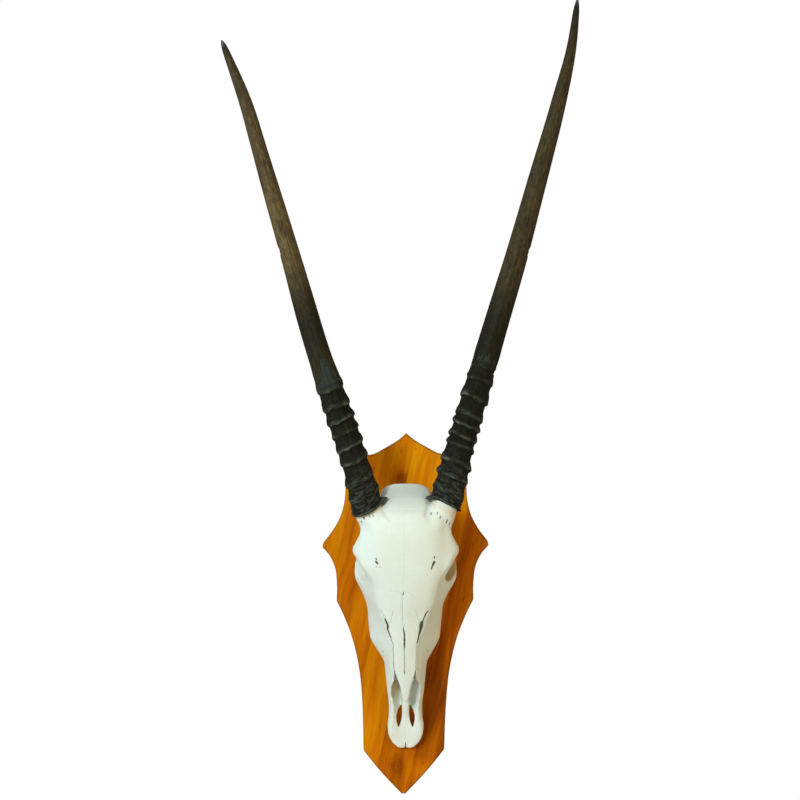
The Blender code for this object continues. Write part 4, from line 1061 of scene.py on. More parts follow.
def zinc_plate(tints):
    """Pressed and turned steel with a thin zinc plate: soft grey gloss with drawn scratches and dull spots."""
    material, tree, shader = shader_of("zinc_plated_steel")
    where = add(tree, "ShaderNodeTexCoord", out="Object")
    along = add(tree, MAPPING, {"Vector": where, "Scale": (150.0, 2500.0, 2500.0)})
    drawn = add(tree, NOISE, {"Vector": along, "Scale": 1.0, "Detail": 3.0, "Roughness": 0.6})
    dull = add(tree, NOISE, {"Vector": where, "Scale": 420.0, "Detail": 4.0, "Roughness": 0.6})
    worn = add(tree, RANGE, {0: dull, 1: 0.4, 2: 0.8})
    tint = overlaid(tree, tints.steel, (worn, linear("#8F918C")))
    rough = add(tree, RANGE, {0: drawn, 3: 0.25, 4: 0.5})
    normal = bumped(tree, (drawn, 0.05, 0.4))
    wire(tree, shader, {"Base Color": tint, "Roughness": rough, "Normal": normal, "Metallic": 1.0})
    return material


def studio_floor(tints):
    """A painted studio floor: matt, pale and faintly mottled."""
    material, tree, shader = shader_of("studio_floor")
    where = add(tree, "ShaderNodeTexCoord", out="Object")
    soft = add(tree, NOISE, {"Vector": where, "Scale": 3.0, "Detail": 3.0})
    tint = overlaid(tree, tints.floor, (soft, tuple(0.96 * part for part in tints.floor)))
    wire(tree, shader, {"Base Color": tint, "Roughness": 0.85})
    return material


# ---------------------------------------------------------------- the shield


def board_outline(pieces):
    """The shield's outline as (x, z), once round."""
    half = []
    for stretch in BOARD_STRETCHES:
        points = [tuple(point) for point in curve_through(stretch, pieces)]
        half += points[1:] if half and half[-1] == points[0] else points
    around = half + [(-x, z) for x, z in half[::-1]]
    return [(x + BOARD_SKEW[0] * z, z + BOARD_SKEW[1] * x) for x, z in around]


def round_hole(name, x, z, profile, sides=32):
    """A round cutter about an axis into the board's back: the profile is (depth, radius)."""
    work = bmesh.new()
    rings = []
    for depth, radius in profile:
        turns = [2 * math.pi * k / sides for k in range(sides)]
        rings.append([MM * Vector((x + radius * math.cos(t), -depth, z + radius * math.sin(t))) for t in turns])
    loft(work, rings)
    return finished(name, work)


def block_hole(name, size, room, sink):
    """A box cutter let into the board's back at the hanger."""
    wide, tall, deep = size
    work = bmesh.new()
    bmesh.ops.create_cube(work, size=1.0)
    for vert in work.verts:
        low = -(deep + sink) if vert.co.y < 0 else BLOCK_OVER
        vert.co = MM * Vector((vert.co.x * (wide + 2 * room), low, HANGER_Z + vert.co.z * (tall + 2 * room)))
    return finished(name, work)


def make_shield(sizes, material):
    """The board, with its rounded front edge and its bores, recess and pocket."""
    work = bmesh.new()
    back = [work.verts.new((x * MM, 0.0, z * MM)) for x, z in board_outline(OUTLINE_STEPS)]
    face = work.faces.new(back)
    grown_parts = bmesh.ops.extrude_face_region(work, geom=[face])["geom"]
    front = [part for part in grown_parts if isinstance(part, bmesh.types.BMVert)]
    bmesh.ops.translate(work, verts=front, vec=(0.0, -BOARD_THICKNESS * MM, 0.0))
    edges = [edge for edge in work.edges if all(vert in front for vert in edge.verts)]
    bmesh.ops.bevel(
        work, geom=edges, offset=sizes.edge_round, segments=EDGE_STEPS, profile=0.5, affect="EDGES"
    )
    # The rounding folds over itself at the board's points, so its last two vertices there become one.
    level = [vert for vert in work.verts if abs(vert.co.y + BOARD_THICKNESS * MM) < FLAT_REACH * MM]
    bmesh.ops.remove_doubles(work, verts=level, dist=FOLD_REACH * MM)
    made = finished("shield", work)
    tools = [
        block_hole("hanger_recess", HANGER_SIZE, SCREW_CLEARANCE, PLATE_SINK + RECESS_GAP),
        block_hole("hanger_pocket", HANGER_POCKET, 0.0, 0.0),
    ]
    pilot = HANGER_SCREW_RADIUS + SCREW_CLEARANCE
    for side in SIDES.values():
        profile = ((-BORE_OVER, pilot), (HANGER_SCREW_END + SCREW_CLEARANCE, pilot))
        tools.append(round_hole(f"hanger_pilot_{side}", side * HANGER_SCREW_SPREAD, HANGER_Z, profile))
    head, shank = SCREW_HEAD_RADIUS + SCREW_CLEARANCE, SCREW_SHANK_RADIUS + SCREW_CLEARANCE
    wide_end, narrow_start = HEAD_BORE
    for name, (z, _) in SKULL_SCREWS.items():
        profile = (
            (-BORE_OVER, head), (wide_end, head), (narrow_start, shank), (BOARD_THICKNESS + 2.0, shank),
        )
        tools.append(round_hole(f"{name}_bore", 0.0, z, profile))
    boolean(made, *tools)
    baked(made, *tools)
    made.data.materials.clear()
    made.data.materials.append(material)
    mark_edges(made.data)
    ready(made, "stained_pine", "plaque", smooth_angle=32)
    flat_faces(made.data)


def lies_flat(heights):
    """Whether all of a face's points lie in the board's front, or all of them in its back."""
    return any(all(abs(y - level) < FLAT_REACH * MM for y in heights) for level in (0.0, -BOARD_THICKNESS * MM))


def flat_faces(mesh):
    """Cuts the flat front and back into well-shaped triangles, and keeps their shading out of the rounded edge."""
    work = bmesh.new()
    work.from_mesh(mesh)
    broad = [face for face in work.faces if len(face.verts) > 4 and lies_flat([vert.co.y for vert in face.verts])]
    bmesh.ops.triangulate(work, faces=broad, ngon_method="BEAUTY")
    for edge in work.edges:
        flats = [lies_flat([vert.co.y for vert in face.verts]) for face in edge.link_faces]
        if any(flats) and not all(flats):
            edge.smooth = False
    work.to_mesh(mesh)
    work.free()


def mark_edges(mesh):
    """Marks the faces of the board's rim, darker the more they look sideways: partly stain gathered there and partly
    painted shade.
    """
    values = []
    for face in mesh.polygons:
        flat = lies_flat([mesh.vertices[index].co.y for index in face.vertices])
        values.append(0.0 if flat else min(1.0, RIM_STAIN_AND_SHADE + (1 - RIM_STAIN_AND_SHADE) * (1 - abs(face.normal.y))))
    attribute(mesh, "edge", values, "FACE")


class TROPHY_OT_shield(bpy.types.Operator):
    """Makes the wooden shield with its rounded edge, screw bores and hanger recess"""

    bl_idname = "trophy.shield"
    bl_label = "Make the shield"

    def execute(self, context):
        scene = context.scene
        make_shield(scene.trophy_sizes, stained_pine(scene.trophy_colours))
        return {"FINISHED"}


# ---------------------------------------------------------------- the skull


def skull_body(work):
    """The skull's main mass, lofted through its surface lines."""
    stations = np.append(np.arange(ROOF[0][0], ROOF[-1][0], SKULL_SPACING), ROOF[-1][0])
    lines = [smooth_line(line, stations) for line in SKULL_LINES]
    rings = []
    for i, z in enumerate(stations):
        right = [line[i] for line in lines]
        left = [(-x, rise) for x, rise in right[-2:0:-1]]
        section = curve_through([tuple(point) for point in right] + left, 4, closed=True)
        shift = np.interp(z, *np.array(SKULL_SHIFT, float).T)
        rings.append([place(z, x + shift, rise) for x, rise in section])
    loft(work, rings)


def nose_hollow():
    """The open nose: wide and open above in front, and closed over further back."""
    work = bmesh.new()
    rings = []
    for z, wide, low, high in NOSE_HOLLOW:
        ring = []
        for k in range(32):
            t = 2 * math.pi * k / 32
            squared = (abs(math.cos(t)) ** 0.7 * math.copysign(1, math.cos(t)), math.sin(t))
            ring.append(place(z, wide * squared[0], (low + high) / 2 + (high - low) / 2 * squared[1]))
        rings.append(ring)
    loft(work, rings)
    return finished("nose_hollow", work)


def nose_bones():
    """The two nose bones, which run out to a point over the open nose, and the bar on its floor."""
    work = bmesh.new()
    for part in (NOSE_BONES, NOSE_BAR):
        rings = []
        spots = np.linspace(part[0][0], part[-1][0], 24)
        for z, (wide, top, thick) in zip(spots, smooth_line(part, spots)):
            outline = [(wide * u, top - NOSE_ARCH * wide * u * u) for u in np.linspace(-1, 1, 13)]
            outline += [(wide * u, top - thick - NOSE_ARCH * wide * u * u) for u in np.linspace(1, -1, 13)]
            rings.append([place(z, x, rise) for x, rise in outline])
        loft(work, rings)
    return finished("nose_bones", work)


def front_slots():
    """The two slots in the front of the palate and the notch at the tip, which go right through."""
    work = bmesh.new()
    for side in SIDES.values():
        inner = [(z, side * low) for z, low, _ in PALATE_SLOT]
        outer = [(z, side * high) for z, _, high in PALATE_SLOT[::-1]]
        loft(work, [[place(z, x, rise) for z, x in inner + outer] for rise in SLOT_RISES])
    notch = [(z, half) for z, half in TIP_NOTCH] + [(z, -half) for z, half in TIP_NOTCH[::-1]]
    loft(work, [[place(z, x, rise) for z, x in notch] for rise in NOTCH_RISES])
    return finished("front_slots", work)


def hollows():
    """The eye sockets and temples, and the throat and spine holes."""
    made = []
    for name, shape in (("eye_sockets", EYE_SOCKET), ("temples", TEMPLE)):
        work = bmesh.new()
        for side in SIDES.values():
            egg(work, shape, side)
        made.append(finished(name, work))
    work = bmesh.new()
    egg(work, THROAT, 0)
    egg(work, SPINE_HOLE, 0)
    made.append(finished("throat_and_spine", work))
    return made


def bone_masses(work):
    """Every mass of bone, overlapping, before they are fused."""
    skull_body(work)
    for side in SIDES.values():
        for rod in (CHEEK_ARCH, EYE_BAR, BROW_EDGE, BROW_RIDGE, NECK_CREST, NECK_SPUR, WING):
            sweep(work, rod, side)
        for shape in (NECK_JOINT, EAR_BULB):
            egg(work, shape, side)
    sweep(work, COLLAR_FLANGE, -1)
    for side, sign in SIDES.items():
        z, x, rise = HORN_AXES[side][0]
        up, out, ahead, radius = COLLAR_END
        sweep(work, BROW_PEDICLE + ((z + up, abs(x) + out, rise + ahead, radius),), sign, sides=32)
        loft(work, [rim_ring(side, depth, radius, 0.0) for depth, radius in curve_through(CORE_RADII, 3)])


def rim_shape(side, turn):
    """How far the sheath's rim stands out and how far it is raised, at a turn round the horn."""
    found = []
    for table in (RIM_LIPS, RIM_SLIPS):
        total = np.zeros_like(turn)
        for angle, spread, high in table[side]:
            total = total + high * bump_at(turn_gap(np.degrees(turn), angle), spread)
        found.append(total)
    return found


def rim_ring(side, depth, radius, tilt, flare=0.0, sides=48):
    """A ring of points round the line of the horn at its rim, dipping by a share of the rings' full dip."""
    (centre, along, out, front), = horn_frames(side, (0.0,))
    dip_front, dip_out = RING_DIP[side]
    turns = 2 * math.pi * np.arange(sides) / sides
    lips, slips = rim_shape(side, turns)
    near = math.exp(-max(float(depth), 0.0) / RIM_RUN)
    raised = float(depth) + tilt * (slips * near - dip_front * np.sin(turns) - dip_out * np.cos(turns))
    wide = float(radius) + flare * lips * (1 - ease(float(depth), LIP_FULL * LIP_RUN[side], LIP_RUN[side]))
    return [
        centre + MM * (float(r) * (math.cos(t) * out + math.sin(t) * front) + float(up) * along)
        for t, r, up in zip(turns, wide, raised)
    ]


def sheath_room():
    """The room that the bone leaves for both sheaths, round their rims and inside them."""
    work = bmesh.new()
    for side in SIDES:
        inner = [
            rim_ring(side, depth - HORN_GAP, radius - HORN_GAP, 1.0 - depth / SOCKET_DEPTH)
            for depth, radius in SOCKET_RADII[::-1]
        ]
        levels = (-HORN_GAP, 2.0, 5.0, 10.0, 20.0, 40.0, SOCKET_DEPTH + 8.0)
        radii = smooth_line(HORN_RADII[side], [max(level, 0.0) / horn_length(side) for level in levels])[:, 0]
        room = np.interp(levels, (0.0, ROOM_LEVEL), (RIM_ROOM, RING_ROOM))
        outer = [rim_ring(side, level, wide, 1.0, FLARE_ROOM) for level, wide in zip(levels, radii + room)]
        loft(work, inner + outer)
    return finished("sheath_room", work)


def tooth_sockets():
    """The room for the cheek teeth, from below the jaw's edge up to the ends of the roots."""
    work = bmesh.new()
    for side in SIDES.values():
        for z, x, long, wide in TEETH:
            half_z, half_x = long / 2 + TOOTH_GAP, wide / 2 + TOOTH_GAP
            corners = ((-1, -0.8), (-0.8, -1), (0.8, -1), (1, -0.8), (1, 0.8), (0.8, 1), (-0.8, 1), (-1, 0.8))
            loft(work, [
                [place(z + u * half_z, side * (x + v * half_x), rise) for u, v in corners]
                for rise in (SOCKET_START, TOOTH_RISE[1] + TOOTH_GAP)
            ])
    return finished("tooth_sockets", work)


def seam_lines(seed=5):
    """Every seam as short straight pieces: arrays of ends, half widths, depths and darknesses."""
    random = np.random.default_rng(seed)
    pieces = []
    for depth, dark, path in SEAMS:
        points = curve_through(path, 8)
        points[:, 2] = np.maximum(points[:, 2], SEAM_THINNEST)
        thin = points[:, 2:] < SEAM_FINE
        points[1:-1, :2] += random.uniform(-SEAM_WANDER, SEAM_WANDER, points[1:-1, :2].shape) * thin[1:-1]
        points[:, 2] *= random.uniform(*SEAM_WIDTHS, len(points))
        for start, end in zip(points, points[1:]):
            pieces.append((*start[:2], *end[:2], start[2], end[2], depth, dark))
    return np.array(pieces)


def collar_band(side, points):
    """How far each point belongs to the band of rough bone under a horn's rim."""
    (centre, along, out, _), = horn_frames(side, (0.0,))
    gaps = points - np.array(centre)
    level = (gaps @ np.array(along) + COLLAR_LEAN * gaps @ np.array(out)) / MM
    return within(level, *COLLAR_BAND) * (np.linalg.norm(gaps, axis=1) < COLLAR_REACH * MM)


def pit_places(skull, sizes):
    """Pits scattered over the bone collars under the horns, as (z, x, radius)."""
    mesh = bpy.data.meshes.new("collars")
    points = vertex_array(skull.data)
    inside = np.maximum(*(collar_band(side, points) for side in SIDES)) > 0.5
    corners = [face.vertices[:] for face in skull.data.polygons]
    keep = [c for c in corners if all(inside[v] for v in c)]
    used = sorted({v for c in keep for v in c})
    index = {v: i for i, v in enumerate(used)}
    mesh.from_pydata([points[v] for v in used], [], [[index[v] for v in c] for c in keep])
    tree, given = geometry_tree("collar_pits", (
        ("Spacing", "NodeSocketFloat", 2.0 * MM), ("Radius", "NodeSocketFloat", 0.7 * MM),
    ))
    spots = add(tree, "GeometryNodeDistributePointsOnFaces", {
        "Mesh": given.outputs["Geometry"], "Distance Min": given.outputs["Spacing"], "Density Max": 60000.0,
        "Seed": 7,
    }, distribute_method="POISSON")
    low = add(tree, MATHS, {0: given.outputs["Radius"], 1: PIT_SMALLEST}, operation="MULTIPLY")
    size = add(tree, "FunctionNodeRandomValue", {2: low, 3: given.outputs["Radius"], "Seed": 3}, 1)
    ball = add(tree, "GeometryNodeMeshIcoSphere", {"Radius": 1.0, "Subdivisions": 1})
    balls = add(tree, "GeometryNodeInstanceOnPoints", {"Points": spots, "Instance": ball, "Scale": size})
    end_tree(tree, balls, None)
    made = grown("pit_balls", mesh, tree, {"Spacing": PIT_SPACING * MM, "Radius": sizes.pit_radius})
    found = vertex_array(made.data).reshape(-1, 12, 3)
    bpy.data.objects.remove(made, do_unlink=True)
    middle = found.mean(axis=1)
    radius = np.linalg.norm(found[:, 0] - middle, axis=1)
    return middle / MM, radius / MM


def from_seams(points, lines):
    """For each point, seen from the front: its distance from the seams, and the depth and darkness they give it."""
    flat = points[:, [2, 0]] / MM
    best = np.full(len(points), np.inf)
    depth, dark = np.zeros(len(points)), np.zeros(len(points))
    for z0, x0, z1, x1, half0, half1, deep, shade in lines:
        close = (flat[:, 0] > min(z0, z1) - 9) & (flat[:, 0] < max(z0, z1) + 9)
        close &= (flat[:, 1] > min(x0, x1) - 9) & (flat[:, 1] < max(x0, x1) + 9)
        near = flat[close]
        start, line = np.array((z0, x0)), np.array((z1 - z0, x1 - x0))
        share = np.clip((near - start) @ line / max(line @ line, 1e-9), 0.0, 1.0)
        far = np.linalg.norm(near - start - share[:, None] * line, axis=1)
        half = half0 + (half1 - half0) * share
        best[close] = np.minimum(best[close], far - half)
        near = bump_at(far, 1.1 * half, 4)
        depth[close] = np.maximum(depth[close], deep * near)
        dark[close] = np.maximum(dark[close], shade * near)
    return best, depth, dark


def refined(mesh, near, cuts):
    """Cuts the faces whose vertices are near a seam into finer ones."""
    work = bmesh.new()
    work.from_mesh(mesh)
    work.verts.ensure_lookup_table()
    faces = [face for face in work.faces if any(near[vert.index] for vert in face.verts)]
    edges = list({edge for face in faces for edge in face.edges})
    bmesh.ops.subdivide_edges(work, edges=edges, cuts=cuts, use_grid_fill=True)
    work.to_mesh(mesh)
    work.free()


def carve_seams(skull, sizes):
    """Refines the bone along its seams and at its pits, sinks them into it and marks how dark they are: dark joints,
    and painted shade in its holes, slits and pits.
    """
    lines = seam_lines()
    pits, radii = pit_places(skull, sizes)
    points, normals = vertex_array(skull.data), vertex_array(skull.data, "normal")
    near = (from_seams(points, lines)[0] < SEAM_REACH) & (normals[:, 1] < 0.1)
    for middle, radius in zip(pits, radii):
        near |= np.linalg.norm(points / MM - middle, axis=1) < PIT_REACH * radius
    refined(skull.data, near, 2)
    points, normals = vertex_array(skull.data), vertex_array(skull.data, "normal")
    _, depth, dark = from_seams(points, lines)
    facing = ease(-normals[:, 1], -0.1, 0.2)
    facing *= 1 - in_egg(points, EYE_SOCKET, 1.15)
    depth, dark = depth * facing, dark * facing
    least, more = PIT_DEPTHS
    random = np.random.default_rng(17)
    for middle, radius, deep in zip(pits, radii, random.uniform(0.2, 1.0, len(pits)) ** 2):
        away = (points / MM - middle) / np.array((1.0, 1.0, PIT_STRETCH))
        far = np.linalg.norm(away, axis=1) / radius
        depth = np.maximum(depth, (least + more * deep) * radius * bump_at(far, 1.0))
        dark = np.maximum(dark, PIT_SHADE * deep * bump_at(far, 0.85, 4))
    points[:, 1] += SINK_BACK * depth * MM
    points -= SINK_INTO * normals * depth[:, None] * MM
    skull.data.vertices.foreach_set("co", points.ravel())
    skull.data.update()
    return dark


def in_egg(points, shape, grow):
    """How deep inside a grown egg hollow each point lies, 0 outside."""
    x, rise, z = table_places(points)
    reaches = [(at - middle) / (half * grow) for at, middle, half in zip((z, np.abs(x), rise), *shape)]
    return ease(1.0 - np.sqrt(sum(reach**2 for reach in reaches)), 0.0, 0.08)


def bone_shades(skull, dark):
    """Marks the grease and painted shade on the bone, the painted shade in its hollows, and its dark seams."""
    points, normals = vertex_array(skull.data), vertex_array(skull.data, "normal")
    x, rise, z = table_places(points)
    # Painted shade in the open nose, within its walls and under its roof: more on the left and towards its upper end.
    nose = smooth_line(NOSE_HOLLOW, z)
    roof = smooth_line(ROOF, z)[:, 1]
    in_nose = ease(nose[:, 0] + 1.2 - np.abs(x), 0.0, 1.0) * within(z, -250.0, 35.0, -165.0, 15.0)
    in_nose *= ease(roof - 2.5 - rise - 0.12 * np.abs(x), 0.0, 4.0)
    hollow = in_nose * (np.where(x > 0, 0.05, 0.5) + 0.6 * ease(z, -212, -192))
    # Painted shade in the eye sockets, far more on the right than the left, and in the temples, throat and spine
    # hole. Faces that look backwards, low on the skull, get painted shade too.
    eye = np.where(x > 0, 0.75, 0.15)
    for shape, share in ((EYE_SOCKET, eye), (TEMPLE, 0.5), (THROAT, 0.75), (SPINE_HOLE, 0.75)):
        hollow = np.maximum(hollow, share * in_egg(points, shape, 1.1))
    hollow = np.maximum(hollow, 0.45 * ease(normals[:, 1], 0.1, 0.8) * ease(95.0 - rise, 0.0, 15.0))
    # Painted shade on the steep sides, cream grease in the rough collars under the horns, and a yellower tone low
    # down near the teeth on faces that don't look forwards.
    steep = ease(np.abs(normals[:, 0]), 0.5, 0.95)
    collar = np.maximum(*(collar_band(side, points) for side in SIDES))
    low = ease(40.0 - rise, 0.0, 35.0) * ease(normals[:, 1], -0.6, 0.1)
    stain = np.maximum(0.1 * steep + 0.3 * collar, 0.25 * low)
    attribute(skull.data, "stain", stain)
    attribute(skull.data, "hollow", hollow)
    attribute(skull.data, "seam", np.clip(dark, 0.0, 1.0))


def make_skull(sizes, material):
    """The skull: masses of bone fused to one skin, with its hollows cut in and its seams and pits sunk."""
    work = bmesh.new()
    bone_masses(work)
    made = finished("bare_skull", work)
    voxels(made, sizes.bone_grain)
    smoothed(made, FUSED_SMOOTHING)
    baked(made)
    tools = [nose_hollow()] + hollows()
    x, rise, z = table_places(vertex_array(made.data))
    soft = made.vertex_groups.new(name="soft")
    inside = within(z, *BROW_PART[0]) * within(np.abs(x), *BROW_PART[1]) * ease(rise, *BROW_PART_RISE)
    for index in np.flatnonzero(inside > 0.01):
        soft.add([int(index)], float(inside[index]), "REPLACE")
    smoothed(made, BROW_SMOOTHING, "soft")
    baked(made)
    made.vertex_groups.clear()
    boolean(made, *tools)
    bones = nose_bones()
    boolean(made, bones, operation="UNION")
    voxels(made, sizes.bone_mesh)
    smoothed(made, CUT_SMOOTHING)
    baked(made, bones, *tools)
    tools = [front_slots(), tooth_sockets(), sheath_room()]
    for z, end in SKULL_SCREWS.values():
        bore = SCREW_SHANK_RADIUS + SCREW_CLEARANCE
        ends = (SKULL_BORE_START, BOARD_THICKNESS + end + SCREW_CLEARANCE)
        tools.append(round_hole("bore", 0.0, z, [(depth, bore) for depth in ends]))
    boolean(made, *tools)
    baked(made, *tools)
    dark = carve_seams(made, sizes)
    bone_shades(made, dark)
    made.data.materials.clear()
    made.data.materials.append(material)
    ready(made, "bleached_bone", "skull", smooth_angle=50)


class TROPHY_OT_skull(bpy.types.Operator):
    """Makes the skull: fused masses of bone with hollows, seams, holes and porous collars"""

    bl_idname = "trophy.skull"
    bl_label = "Make the skull"

    def execute(self, context):
        scene = context.scene
        make_skull(scene.trophy_sizes, bleached_bone(scene.trophy_colours))
        return {"FINISHED"}


# ---------------------------------------------------------------- the horns


def horn_path(side):
    """The axis as close points, with the length up to each."""
    path = curve_through(HORN_AXES[side], 24)
    return path, np.append(0.0, np.cumsum(np.linalg.norm(np.diff(path, axis=0), axis=1)))


def horn_length(side):
    """A horn's length in mm along its axis."""
    return horn_path(side)[1][-1]


def horn_frames(side, spots):
    """The axis point, its direction and the two directions across it, at distances in mm from the rim."""
    path, lengths = horn_path(side)
    sign = SIDES[side]
    frames = []
    for spot in spots:
        low, high = max(spot - AXIS_REACH, 0.0), min(spot + AXIS_REACH, lengths[-1])
        near, ahead, behind = (
            place(*(np.interp(at, lengths, path[:, c]) for c in range(3))) for at in (spot, high, low)
        )
        along = (ahead - behind).normalized()
        out = (Vector((sign, 0, 0)) - along * along.x * sign).normalized()
        front = Vector((0, -1, 0)) - along * Vector((0, -1, 0)).dot(along)
        front = (front - out * front.dot(out)).normalized()
        frames.append((near, along, out, front))
    return frames


def waves(random, turn, spot, high, low_k, high_k, run, count):
    """A smooth random field round the horn and along it, between about -high and high."""
    total = np.zeros_like(turn)
    for _ in range(count):
        k = random.integers(low_k, high_k + 1)
        total += np.sin(k * turn + spot / run * random.uniform(-1, 1) + random.uniform(0, 2 * math.pi))
    return high * total / math.sqrt(count)


def ring_field(side, spot, turn, scale):
    """How far the rings stand out at each point, and how near it is to a crest, which is painted paler partly for
    wear and partly as a highlight, and to the painted shadow under one.
    """
    random = np.random.default_rng(RING_SEEDS[side])
    length = horn_length(side)
    height, crest, groove = np.zeros_like(spot), np.zeros_like(spot), np.zeros_like(spot)
    shares = [share for share, _ in RINGS[side]]
    for (share, rise), above in zip(RINGS[side], shares[1:] + [RING_ZONE]):
        shift, swell = (
            waves(random, turn, spot, *broad) + waves(random, turn, spot, *fine)
            for broad, fine in (RING_SHIFT, RING_SWELL)
        )
        size = rise * scale * (1 + swell)
        gap = spot + shift - share * length
        slope = RING_SLOPE * (above - share) * length
        falling = 1 - ease(gap, RING_TOP, RING_RUN * slope)
        bell = np.where(gap > RING_TOP, falling, ease(gap, -RING_EDGE, RING_TOP))
        height = np.maximum(height, size * bell)
        top = np.where(gap > 0, 1 - ease(gap, 0.0, CREST_RUN * slope), ease(gap, *CREST_LIP))
        fray = np.clip(0.75 + waves(random, turn, spot, *RING_FRAY), 0.1, 1.2)
        crest = np.maximum(crest, top * fray * np.clip(rise / CREST_FULL, 0, 1))
        sunk = bump_at(gap + RING_EDGE + GROOVE_DROP, GROOVE_WIDE)
        groove = np.maximum(groove, sunk * np.clip(rise / GROOVE_FULL, 0, 1))
    zone = ease(spot / length, 0.0, 0.02) * (1 - ease(spot / length, shares[-1], RING_ZONE))
    height -= RING_WAIST * scale * zone * (1 - np.clip(height / RING_WAIST, 0, 1))
    return height, crest, groove * zone


def sheath_tree(material):
    """A tree that sweeps a ring of faces along the axis and keeps how far along and round each point is."""
    tree, given = geometry_tree("horn_sheath", (("Sides", "NodeSocketInt", 96),))
    path = add(tree, "GeometryNodeMeshToCurve", {"Mesh": given.outputs["Geometry"]})
    marked = add(tree, "GeometryNodeStoreNamedAttribute", {
        "Geometry": path, "Name": "spot", "Value": add(tree, "GeometryNodeSplineParameter", out="Length"),
    })
    circle = add(tree, "GeometryNodeCurvePrimitiveCircle", {"Resolution": given.outputs["Sides"], "Radius": 1.0 * MM})
    turned_round = add(tree, "GeometryNodeStoreNamedAttribute", {
        "Geometry": circle, "Name": "turn", "Value": add(tree, "GeometryNodeSplineParameter", out="Factor"),
    })
    skin = add(tree, "GeometryNodeCurveToMesh", {"Curve": marked, "Profile Curve": turned_round, "Fill Caps": True})
    end_tree(tree, skin, material)
    return tree


def make_horn(side, sizes, tree):
    """A horn sheath: the inner wall of its rim, its flared edge, the rings and the smooth shaft up to the tip."""
    long = horn_length(side)
    row = sizes.horn_row / MM
    ringed = RINGED_SHARE * long
    rows = np.concatenate([
        np.arange(-SOCKET_DEPTH, -SOCKET_ROW, SOCKET_ROW), np.arange(-SOCKET_ROW, 0.0, RIM_ROW),
        np.arange(0.0, ringed, RINGED_ROW * row), np.arange(ringed, long, row), [long],
    ])
    base = bpy.data.meshes.new(f"horn_axis_{side}")
    base.from_pydata([(0.0, 0.0, at * MM) for at in rows], [(i, i + 1) for i in range(len(rows) - 1)], [])
    made = grown(f"horn_sheath_{side}", base, tree, {"Sides": sizes.horn_sides})
    mesh = made.data
    places = []
    for name in ("spot", "turn"):
        values = np.empty(len(mesh.vertices), np.float32)
        mesh.attributes[name].data.foreach_get("value", values)
        mesh.attributes.remove(mesh.attributes[name])
        places.append(values.astype(float))
    points, marks = sheath_points(side, places[0] / MM - SOCKET_DEPTH, 2 * math.pi * places[1], sizes)
    mesh.vertices.foreach_set("co", points.ravel())
    for name, values in marks.items():
        attribute(mesh, name, values)
    mesh.update()
    outward(mesh)
    ready(made, "dark_horn", f"horn_{side}", smooth_angle=55)


